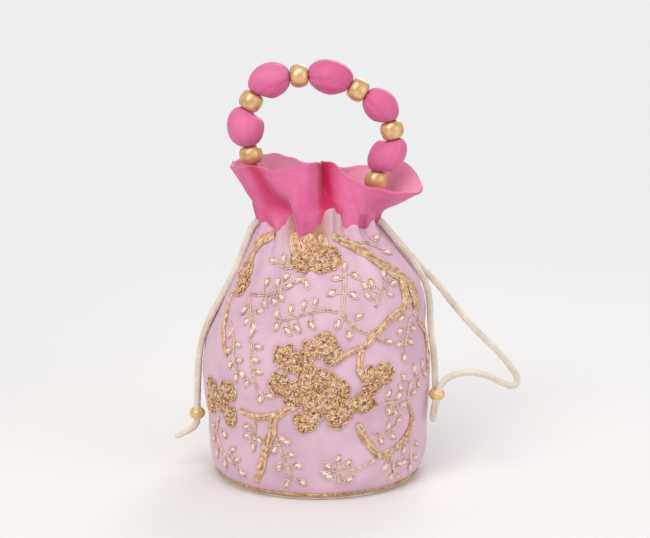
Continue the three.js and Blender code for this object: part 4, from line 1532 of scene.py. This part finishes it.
RUNS = (
    Run("vine_right_shoulder", -1,
        branches=(Branch(((9, 164), (19, 159), (28, 154), (38, 147), (47, 141), (57, 132)), 6, 9),
                  Branch(((56, 135), (61, 124), (64, 113)), 6, 13),
                  Branch(((53, 135), (55, 127), (57, 119)), 5, 10),
                  Branch(((58, 121), (43, 112), (33, 104), (29, 98)), 6, 5),
                  Branch(((29, 99), (20, 96), (11, 92)), 4),
                  Branch(((28, 98), (26, 90), (27, 82), (33, 79)), 4.5)),
        sprigs=(Sprig(((17, 146), (17, 131), (16, 121), (23, 112), (33, 106)),
                      ((12, 140), (17, 147), (24, 141), (9, 132), (23, 130), (13, 114), (26, 118),
                       (20, 107))),
                Sprig(((36, 122), (39, 130), (43, 136)), ((34, 136), (32, 129), (46, 128), (49, 134),
                                                          (42, 140), (30, 135))),
                Sprig(((24, 160), (32, 158), (39, 154)), ((44, 151), (37, 160))),
                Sprig(((36, 103), (42, 100)), ((45, 100),))),
        blossoms=((34, 78, 8.5), (42, 81, 7))),
    Run("blossoms_centre", -1,
        blossoms=((-20, 94, 8), (-12, 90, 8), (-2, 99, 8), (5, 103, 7.5), (9, 96, 7), (-23, 77, 7.5),
                  (-15, 71, 7.5),
                  (-6, 80, 8.5), (4, 80, 8), (12, 74, 8), (-4, 68, 8), (6, 66, 7), (-7, 53, 8),
                  (-2, 59, 6.5),
                  (13, 57, 8), (19, 62, 7), (29, 64, 7.5)),
        stems=(((-20, 92), (-22, 77), (-7, 70), (-5, 53)), ((2, 100), (-6, 84), (-3, 70), (14, 57)))),
    Run("vine_left", -1,
        branches=(Branch(((-27, 163), (-37, 155), (-42, 145), (-47, 134)), 7, 8),
                  Branch(((-54, 123), (-57, 111), (-59, 100), (-56, 88)), 3.5)),
        blossoms=((-45, 137, 7.5), (-48, 129, 7.5)),
        sprigs=(Sprig(((-42, 127), (-31, 128), (-21, 133)),
                      ((-32, 135), (-25, 136), (-27, 125), (-22, 128), (-17, 135), (-33, 123))),
                Sprig(((-42, 125), (-41, 118), (-40, 112)),
                      ((-45, 117), (-36, 118), (-39, 109), (-44, 111))),
                Sprig(((-41, 102), (-40, 92), (-40, 85), (-38, 76), (-33, 68)),
                      ((-40, 106), (-36, 98), (-36, 83), (-43, 75), (-35, 66), (-29, 69), (-38, 90))),
                Sprig(((-21, 115), (-9, 119), (3, 122), (13, 121)),
                      ((-25, 118), (-25, 111), (-18, 109), (-16, 122), (-12, 111), (-8, 125), (-3, 113),
                       (-1, 127))),
                Sprig(((-55, 108), (-52, 98), (-52, 90), (-49, 82)),
                      ((-55, 101), (-49, 97), (-55, 92), (-48, 88), (-54, 84), (-46, 80), (-50, 77))))),
    Run("vine_lower_left", -1,
        branches=(Branch(((-12, 64), (-20, 60), (-26, 54), (-28, 45), (-31, 36), (-34, 25), (-38, 10)),
                         5.5, 7),
                  Branch(((-24, 57), (-36, 54), (-48, 56)), 4.5)),
        blossoms=((-67, 63, 7.5), (-56, 66, 7.5), (-61, 58, 7), (-55, 50, 7), (-67, 53, 6)),
        sprigs=(Sprig(((-27, 43), (-22, 31), (-16, 16)),
                      ((-19, 39), (-27, 33), (-16, 31), (-24, 22), (-12, 24), (-9, 13), (-19, 11),
                       (-22, 41))),
                Sprig(((-38, 53), (-39, 44), (-40, 37)), ((-44, 40), (-36, 38), (-40, 33), (-44, 46))),
                Sprig(((-62, 46), (-63, 34), (-59, 25), (-52, 18)),
                      ((-66, 38), (-58, 36), (-66, 29), (-53, 28), (-50, 22), (-58, 16), (-47, 14),
                       (-64, 20))))),
    Run("vine_lower_right", -1,
        branches=(Branch(((25, 51), (30, 40), (38, 29), (46, 26)), 6, 5),
                  Branch(((38, 27), (51, 30), (58, 36), (60, 45), (58, 57)), 6, 4)),
        sprigs=(Sprig(((59, 52), (57, 62), (60, 72), (68, 74)),
                      ((54, 58), (52, 70), (54, 76), (61, 79), (64, 68), (68, 79), (70, 71), (61, 64))),
                Sprig(((36, 62), (44, 62), (51, 60)), ((44, 68), (51, 65), (54, 58), (45, 56), (49, 54))),
                Sprig(((34, 44), (42, 41), (50, 45)), ((40, 37), (45, 46), (52, 48), (48, 38))),
                Sprig(((46, 25), (48, 18), (49, 10)), ((43, 19), (53, 18), (46, 11), (52, 9))),
                Sprig(((58, 33), (61, 25), (60, 17)), ((56, 26), (65, 26), (56, 18), (64, 17), (60, 12))),
                Sprig(((13, 9), (14, 17), (13, 23), (24, 21), (38, 26)),
                      ((7, 24), (13, 29), (19, 26), (8, 17), (20, 15), (5, 19))))),
    Run("vine_right_edge", -1, branches=(Branch(((64, 108), (69, 97), (71.5, 85), (71.5, 70)), 4.5, 4),),
        sprigs=(Sprig(((58, 112), (57, 103), (55, 92)),
                      ((53, 113), (62, 113), (52, 105), (61, 104), (51, 97), (59, 96), (54, 88))),)),
    Run("blossom_neck", -1, blossoms=((-8, 150, 8.5), (1, 149, 8.5), (9, 151, 7.5), (-1, 155, 7)),
        branches=(Branch(((-11, 151), (-13, 158), (-14, 165)), 11, 8),
                  Branch(((-3, 153), (-5, 160), (-6, 165)), 12, 8),
                  Branch(((4, 154), (4, 160), (3, 165)), 9, 6)),
        sprigs=(Sprig(((-14, 146), (-20, 145), (-26, 147)), ((-28, 148), (-21, 150), (-19, 140))),
                Sprig(((-8, 144), (-8, 139)), ((-11, 139), (-6, 137))))),
    Run("vine_back_left", 1,
        branches=(Branch(((-26, 150), (-36, 143), (-44, 133), (-51, 118), (-56, 98)), 7, 5),
                  Branch(((-51, 118), (-42, 106), (-34, 90), (-38, 72), (-30, 54), (-34, 32), (-28, 14)),
                         5, 5)),
        blossoms=((-57, 95, 7.5), (-52, 101, 7), (-36, 88, 8), (-30, 94, 7.5), (-20, 96, 7.5), (-27, 84, 7),
                  (-50, 60, 7.5), (-56, 66, 6.5)),
        stems=(((-36, 88), (-20, 96)), ((-36, 70), (-50, 60))),
        sprigs=(Sprig(((-30, 147), (-20, 140), (-10, 128)), pairs=4),
                Sprig(((-42, 106), (-26, 114), (-12, 112)), pairs=4),
                Sprig(((-50, 60), (-60, 46), (-58, 30)), pairs=4),
                Sprig(((-30, 54), (-16, 44), (-10, 28)), pairs=4))),
    Run("vine_back_right", 1,
        branches=(Branch(((27, 150), (39, 143), (50, 134), (57, 119)), 7, 6),
                  Branch(((50, 134), (38, 122), (26, 106), (24, 84), (34, 64), (28, 42), (34, 16)), 5, 5)),
        blossoms=((58, 116, 7.5), (52, 122, 7), (24, 84, 8), (17, 90, 7.5), (8, 78, 7.5), (10, 94, 7.5),
                  (16, 76, 7),
                  (52, 70, 7.5), (46, 64, 6.5)),
        stems=(((24, 84), (8, 78)), ((34, 64), (52, 70))),
        sprigs=(Sprig(((32, 147), (22, 140), (12, 128)), pairs=4),
                Sprig(((38, 122), (44, 104), (56, 92)), pairs=4),
                Sprig(((30, 52), (14, 54), (0, 60)), pairs=4),
                Sprig(((29, 38), (44, 34), (58, 40)), pairs=4))),
)


GOLD, PEARL, PALE = range(3)
STITCH_FINISHES = (Finish.GOLD_THREAD, Finish.SEED, Finish.PALE_THREAD)


@dataclass
class Embroidery:
    """Raised gold embroidery worked on the cloth."""

    form: BagForm = field(default_factory=BagForm)
    strand_step: float = 1.1
    strand_diameter: float = 1.45
    strand_apart: float = 0.78
    strand_crossing: float = 13.0
    stem_diameter: float = 1.5
    stem_lift: float = 0.5
    bud_length: float = 6.6
    bud_width: float = 3.5
    bud_spread: float = 3.4
    bud_turn: float = 0.85
    bud_thread: float = 1.05
    bud_corners: int = 16
    pearl_rings: int = 5
    pearl_corners: int = 12
    pearl_share: float = 0.36
    pearl_height: float = 1.35
    stalk_thread: float = 0.95
    petals: int = 5
    petal_thread: float = 1.35
    petal_fill_thread: float = 1.15
    coils: int = 26
    coil_thread: float = 1.1
    coil_half_length: float = 1.9
    seeds_each: int = 4
    seed_corners: int = 8
    seed_radius: float = 0.9
    seed_from_middle: float = 2.4
    seed: int = 7

    def __post_init__(self) -> None:
        """Seed the small irregularities."""
        self.chance = random.Random(self.seed)

    def local(self, angle: float, up: float) -> tuple[Array, Array, Array, Array]:
        """Frame of the cloth at one place.

        Args:
            angle: around the bag.
            up: height.
        Returns:
            The point, and the directions across, up the cloth and out of it.
        """
        point = self.form.point(angle, up)
        out = self.form.normal(np.array(angle), np.array(up))
        across = unit(np.cross(UP, out))
        return point, across, np.cross(out, across), out

    def over(self, spot: tuple[Array, ...], flat: Array, lift: Array) -> Array:
        """Points over the cloth around one place, following its curve.

        Args:
            spot: the frame from local.
            flat: offsets across and up.
            lift: height off the cloth.
        Returns:
            The points.
        """
        point, across, upward, out = spot
        guess = point + flat[..., :1] * across + flat[..., 1:2] * upward
        z = guess[..., 2]
        angle = np.arctan2(guess[..., 1], guess[..., 0] - self.form.lean(z))
        base = self.form.point(angle, z)
        return base + out * np.asarray(lift)[..., None]

    def cord_on(self, shell: Shell, line: Array, diameter: float, closed: bool = False, sides: int = 6,
                slot: int = 0) -> None:
        """A couched thread along a line.

        Args:
            shell: what it is added to.
            line: points along it.
            diameter: its thickness.
            closed: it is a loop.
            sides: corners of its section.
            slot: the material slot.
        """
        look = CordLook(diameter=diameter, sides=sides, lay_length=3.0, groove=0.12)
        shell.add_cord(look, line, closed, slot=slot)

    def along(self, points: Sequence[Point], side: int, step: float) -> tuple[Array, Array, Array]:
        """A line over the cloth.

        Args:
            points: places across and up.
            side: front or back.
            step: distance between its points.
        Returns:
            Angles, heights, and headings across and up.
        """
        girth = self.form.girth()
        flat = np.array([[float(self.form.angle_at(a, u, side)) * girth, u] for a, u in points])
        line = curve_through(flat, step)
        return line[:, 0] / girth, line[:, 1], unit(np.gradient(line, axis=0))

    def branch(self, shell: Shell, branch: Branch, side: int) -> None:
        """A bundle of couched strands that cross over one another as they run along.

        Args:
            shell: what it is added to.
            branch: its line and widths.
            side: front or back.
        """
        angles, ups, ways = self.along(branch.points, side, self.strand_step)
        share = np.linspace(0.0, 1.0, len(angles))
        last = branch.end_width or branch.width
        half = (branch.width + (last - branch.width) * share) / 2 - self.strand_diameter / 2
        half = half * (1.0 - 0.35 * np.abs(2 * share - 1) ** 6)
        count = max(5, round(max(branch.width, last) / self.strand_apart))
        for k in range(count):
            phase = TAU * k / count + 0.5 * self.chance.random()
            wander = 1.0 + 0.2 * self.chance.random()
            swing = phase + share * len(angles) * self.strand_step / self.strand_crossing * wander
            off = half * np.arcsin(np.sin(swing)) * 2.0 / np.pi
            lift = 0.8 + 0.4 * np.cos(swing) + 0.2 * np.sin(share * 31.0 + k)
            angle = angles - ways[:, 1] * off / self.form.radius(ups)
            up = ups + ways[:, 0] * off
            line = self.form.above(angle, up, lift)
            self.cord_on(shell, line, self.strand_diameter * (0.85 + 0.25 * self.chance.random()),
                         slot=PALE if k % 3 == 1 else GOLD)

    def stem(self, shell: Shell, points: Sequence[Point], side: int) -> None:
        """A pair of thin threads laid side by side along a line.

        Args:
            shell: what they are added to.
            points: places across and up.
            side: front or back.
        """
        angles, ups, ways = self.along(points, side, 1.0)
        for hand in (-1.0, 1.0):
            off = hand * self.stem_diameter * 0.36
            angle, up = angles - ways[:, 1] * off / self.form.radius(ups), ups + ways[:, 0] * off
            line = self.form.above(angle, up, np.full(len(up), self.stem_lift))
            self.cord_on(shell, line, self.stem_diameter * 0.72, slot=PALE)

    def bud(self, shell: Shell, angle: float, up: float, lean: float) -> None:
        """A loop of pale gold thread around a seed pearl.

        Args:
            shell: what it is added to.
            angle: around the bag.
            up: height of its middle.
            lean: its turn from upright.
        """
        spot = self.local(angle, up)
        size = 0.92 + 0.2 * self.chance.random()
        turn = turns(self.bud_corners)
        wide = self.bud_width / 2 * size * (1.0 - 0.22 * np.sin(turn))
        flat = np.stack([wide * np.cos(turn), self.bud_length / 2 * size * np.sin(turn)], axis=1)
        spin = np.array([[math.cos(lean), math.sin(lean)], [-math.sin(lean), math.cos(lean)]])
        line = self.over(spot, flat @ spin, np.full(len(turn), 0.5))
        self.cord_on(shell, line, self.bud_thread, closed=True, slot=PALE)
        around = turns(self.pearl_corners)
        oval = self.pearl_share * size * np.stack([self.bud_width * np.cos(around),
                                                   self.bud_length * np.sin(around)], axis=1)
        rows = [self.over(spot, oval @ spin, np.full(len(around), 0.0))]
        for ring in range(1, self.pearl_rings + 1):
            tilt = ring / self.pearl_rings * math.pi / 2
            reach = math.cos(tilt) if ring < self.pearl_rings else 0.04
            lift = np.full(len(around), 0.15 + self.pearl_height * math.sin(tilt))
            rows.append(self.over(spot, reach * oval @ spin, lift))
        shell.add_grid(np.array(rows), around=True, caps=True, slot=PEARL)

    def blossom(self, shell: Shell, across: float, up: float, radius: float, side: int) -> None:
        """A blossom: ragged petals of looped purl thread, crowded with short coils.

        Args:
            shell: what it is added to.
            across, up: its middle as seen from the front.
            radius: its reach.
            side: front or back.
        """
        spot = self.local(float(self.form.angle_at(across, up, side)), up)
        first = self.chance.random() * TAU
        for petal in range(self.petals):
            aim = first + petal * TAU / self.petals + 0.5 * (self.chance.random() - 0.5)
            way = toward(aim)
            flank = np.array([-way[1], way[0]])
            reach = radius * (0.8 + 0.32 * self.chance.random())
            turn = turns(self.bud_corners)
            wobble = 1.0 + 0.1 * np.sin(3 * turn + aim)
            along = reach * (0.6 + 0.4 * np.cos(turn) * wobble)
            off = reach * 0.4 * np.sin(turn) * (1.0 + 0.25 * np.cos(turn)) * wobble
            loop = along[:, None] * way + off[:, None] * flank
            line = self.over(spot, loop, 0.7 + 0.25 * np.sin(5 * turn))
            self.cord_on(shell, line, self.petal_thread, closed=True)
            for k in range(-2, 3):
                s = np.linspace(0.0, 1.0, 5)
                aside = k * 0.14 * reach * np.sin(np.pi * (0.2 + 0.72 * s))
                fill = ((0.2 + 0.68 * s) * reach)[:, None] * way + aside[:, None] * flank
                lift = 0.45 + (0.8 + 0.6 * self.chance.random()) * np.sin(np.pi * s)
                self.cord_on(shell, self.over(spot, fill, lift), self.petal_fill_thread, sides=5)
        for k in range(self.coils):
            aim = self.chance.random() * TAU
            far = radius * 0.95 * math.sqrt(self.chance.random())
            twist = self.chance.random() * TAU
            bend = 0.9 * (self.chance.random() - 0.5)
            s = np.linspace(-1.0, 1.0, 5)
            centre, heading = toward(aim) * far, toward(twist)
            piece = centre + (s * self.coil_half_length)[:, None] * heading
            piece = piece + (bend * (1 - s * s))[:, None] * np.array([-heading[1], heading[0]])
            lift = 1.0 + 0.8 * self.chance.random() + 0.75 * (1 - s * s)
            self.cord_on(shell, self.over(spot, piece, lift), self.coil_thread, sides=5,
                         slot=PALE if k % 3 == 0 else GOLD)
        self.seeds(shell, spot)

    def seeds(self, shell: Shell, spot: tuple[Array, ...]) -> None:
        """Small beads scattered about a blossom's heart.

        Args:
            shell: what they are added to.
            spot: the frame of the blossom's middle.
        """
        around = turns(self.seed_corners)
        circle = np.stack([np.cos(around), np.sin(around)], axis=1)
        for k in range(self.seeds_each):
            aim = (k + self.chance.random()) * TAU / self.seeds_each
            centre = self.seed_from_middle * toward(aim)
            rows = []
            for tilt in (-0.9, -0.35, 0.2, 0.75, 1.25, 1.54):
                lift = np.full(len(around), 1.9 + self.seed_radius * math.sin(tilt))
                rows.append(self.over(spot, centre + self.seed_radius * math.cos(tilt) * circle, lift))
            shell.add_grid(np.array(rows), around=True, caps=True, slot=PALE)

    def sprig(self, shell: Shell, sprig: Sprig, side: int) -> None:
        """A thin stem with its buds, each leaning away from the stem.

        Args:
            shell: what it is added to.
            sprig: the stem's places and its buds.
            side: front or back.
        """
        self.stem(shell, sprig.points, side)
        angles, ups, ways = self.along(sprig.points, side, 0.5)
        for pair in range(1, sprig.pairs + 1):
            at = min(len(angles) - 1, round(pair / sprig.pairs * (len(angles) - 1)))
            heading = math.atan2(ways[at][1], ways[at][0]) - math.pi / 2
            for hand in (-1, 1):
                lean = heading + hand * self.bud_turn
                shift = self.bud_spread + 0.4 * self.chance.random()
                self.bud(shell, angles[at] - math.sin(lean) * shift / float(self.form.radius(ups[at])),
                         ups[at] + math.cos(lean) * shift, lean)
        for across, up in sprig.buds:
            angle = float(self.form.angle_at(across, up, side))
            round_by = (angle - angles) * float(self.form.radius(up))
            near = int(np.argmin(np.hypot(round_by, up - ups)))
            away = np.array([round_by[near], up - ups[near]])
            heading = unit(away + 1e-6) + 0.55 * ways[near]
            self.bud(shell, angle, up, math.atan2(-heading[0], heading[1]))
            start = self.local(float(angles[near]), float(ups[near]))
            stalk = np.linspace(0.0, 1.0, 4)[:, None] * away * 0.75
            line = self.over(start, stalk, np.full(len(stalk), 0.45))
            self.cord_on(shell, line, self.stalk_thread, sides=5, slot=PALE)

    def work(self, run: Run) -> Piece:
        """Stitch one run as one piece.

        Args:
            run: what it holds.
        Returns:
            The object.
        """
        shell = Shell()
        for branch in run.branches:
            self.branch(shell, branch, run.side)
        for points in run.stems:
            self.stem(shell, points, run.side)
        for sprig in run.sprigs:
            self.sprig(shell, sprig, run.side)
        for across, up, radius in run.blossoms:
            self.blossom(shell, across, up, radius, run.side)
        made = shell.build("stitching_" + run.node, [finish.material() for finish in STITCH_FINISHES])
        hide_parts(run.node)
        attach(made, "bag")
        return made

    def build(self) -> None:
        """Stitch every run."""
        for run in RUNS:
            report(self.work(run))


@dataclass
class Studio:
    """Floor, soft light and the camera at the photograph's angle."""

    distance: float = 1.2
    elevation: float = 12.0
    aim_height: float = 0.13
    lens: float = 102.24
    shift_x: float = 8 / 650
    shift_y: float = 7.4 / 650
    floor_colour: Colour = (0.86, 0.85, 0.84)
    floor_grain_colour: Colour = (0.7, 0.69, 0.68)
    backdrop_colour: Colour = (0.86, 0.86, 0.87)
    world_colour: Colour = (0.93, 0.93, 0.94)
    world_strength: float = 0.58
    fade_from: float = 0.18
    fade_to: float = 0.75
    lamps: tuple[tuple[str, Point, float, float, Colour], ...] = (
        ("key", (-0.7, -1.2, 1.1), 0.9, 9.6, (1.0, 0.97, 0.94)),
        ("fill", (1.1, -0.9, 0.55), 1.0, 4.2, (0.95, 0.97, 1.0)),
        ("top", (-0.1, -0.6, 1.35), 0.6, 4.4, (1.0, 0.99, 0.97)),
        ("rim", (0.35, 1.1, 0.9), 0.7, 6.0, (1.0, 0.98, 0.96)))

    def camera(self) -> None:
        """Place the camera."""
        tilt = math.radians(self.elevation)
        data = bpy.data.cameras.new("camera")
        data.lens, data.sensor_width = self.lens, 36.0
        data.shift_x, data.shift_y = self.shift_x, self.shift_y
        data.clip_start, data.clip_end = 0.05, 20.0
        made = bpy.data.objects.new("camera", data)
        made.location = (0.0, -self.distance * math.cos(tilt),
                         self.aim_height + self.distance * math.sin(tilt))
        made.rotation_euler = (math.pi / 2 - tilt, 0.0, 0.0)
        bpy.context.scene.collection.objects.link(made)
        bpy.context.scene.camera = made

    def lamp(self, name: str, place: Point, size: float, watts: float, tint: Colour) -> None:
        """A soft square lamp that faces the bag.

        Args:
            name: its name.
            place: its position in metres.
            size: its side.
            watts: its power.
            tint: its colour.
        """
        data = bpy.data.lights.new(name, "AREA")
        data.energy, data.size, data.color = watts, size, tint
        made = bpy.data.objects.new(name, data)
        made.location = place
        aim = Vector((0.0, 0.0, 0.12)) - Vector(place)
        made.rotation_euler = aim.to_track_quat("-Z", "Y").to_euler()
        bpy.context.scene.collection.objects.link(made)

    def floor(self) -> None:
        """A wide pale floor under the bag."""
        bpy.ops.object.select_all(action="DESELECT")
        bpy.ops.mesh.primitive_plane_add(size=8.0, location=(0.0, 0.0, -0.0002))
        made = bpy.context.active_object
        made.name = "floor"
        r = Recipe("floor_paper")
        solid = r.place(False)
        grain = r.noise(solid, 300.0, 2.0)
        colour = r.mix(r.spread(grain, 0.0, 0.06), self.floor_colour, self.floor_grain_colour)
        made.data.materials.append(r.finish(colour, 0.9, r.bump(grain, 0.0001, 0.2)))
        far = r.node("ShaderNodeVectorMath", operation="LENGTH")
        r.link(solid, far.inputs[0])
        fade = r.node("ShaderNodeMapRange", interpolation_type="SMOOTHSTEP", in_From_Min=self.fade_from,
                      in_From_Max=self.fade_to)
        r.link(far.outputs["Value"], fade.inputs["Value"])
        seen = r.node("ShaderNodeLightPath")
        share = r.node("ShaderNodeMath", operation="MULTIPLY")
        r.link(fade.outputs["Result"], share.inputs[0])
        r.link(seen.outputs["Is Camera Ray"], share.inputs[1])
        glow = r.node("ShaderNodeEmission", in_Color=(*self.backdrop_colour, 1.0), in_Strength=1.0)
        both = r.node("ShaderNodeMixShader")
        r.link(share.outputs["Value"], both.inputs[0])
        r.link(r.shader.outputs["BSDF"], both.inputs[1])
        r.link(glow.outputs["Emission"], both.inputs[2])
        output = next(node for node in r.material.node_tree.nodes if node.type == "OUTPUT_MATERIAL")
        r.link(both.outputs["Shader"], output.inputs["Surface"])

    def build(self) -> None:
        """Light the scene and set how it is shown."""
        world = bpy.context.scene.world or bpy.data.worlds.new("studio")
        bpy.context.scene.world = world
        world.use_nodes = True
        nodes, links = world.node_tree.nodes, world.node_tree.links
        light = nodes["Background"]
        light.inputs["Color"].default_value = (*self.world_colour, 1.0)
        light.inputs["Strength"].default_value = self.world_strength
        shown, path, both = (nodes.new(kind) for kind in (
            "ShaderNodeBackground", "ShaderNodeLightPath", "ShaderNodeMixShader"))
        shown.inputs["Color"].default_value = (*self.backdrop_colour, 1.0)
        links.new(path.outputs["Is Camera Ray"], both.inputs[0])
        links.new(light.outputs["Background"], both.inputs[1])
        links.new(shown.outputs["Background"], both.inputs[2])
        links.new(both.outputs["Shader"], nodes["World Output"].inputs["Surface"])
        for lamp in self.lamps:
            self.lamp(*lamp)
        self.floor()
        bpy.context.scene.view_settings.view_transform = "Standard"


def main() -> None:
    """Build the bag in order."""
    logging.basicConfig(level=logging.INFO, format="%(message)s")
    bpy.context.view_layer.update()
    studio = Studio()
    studio.camera()
    Drawstrings().build()
    Pouch().build()
    Frill().build()
    Handle().build()
    Embroidery().build()
    studio.build()


if __name__ == "__main__":
    main()
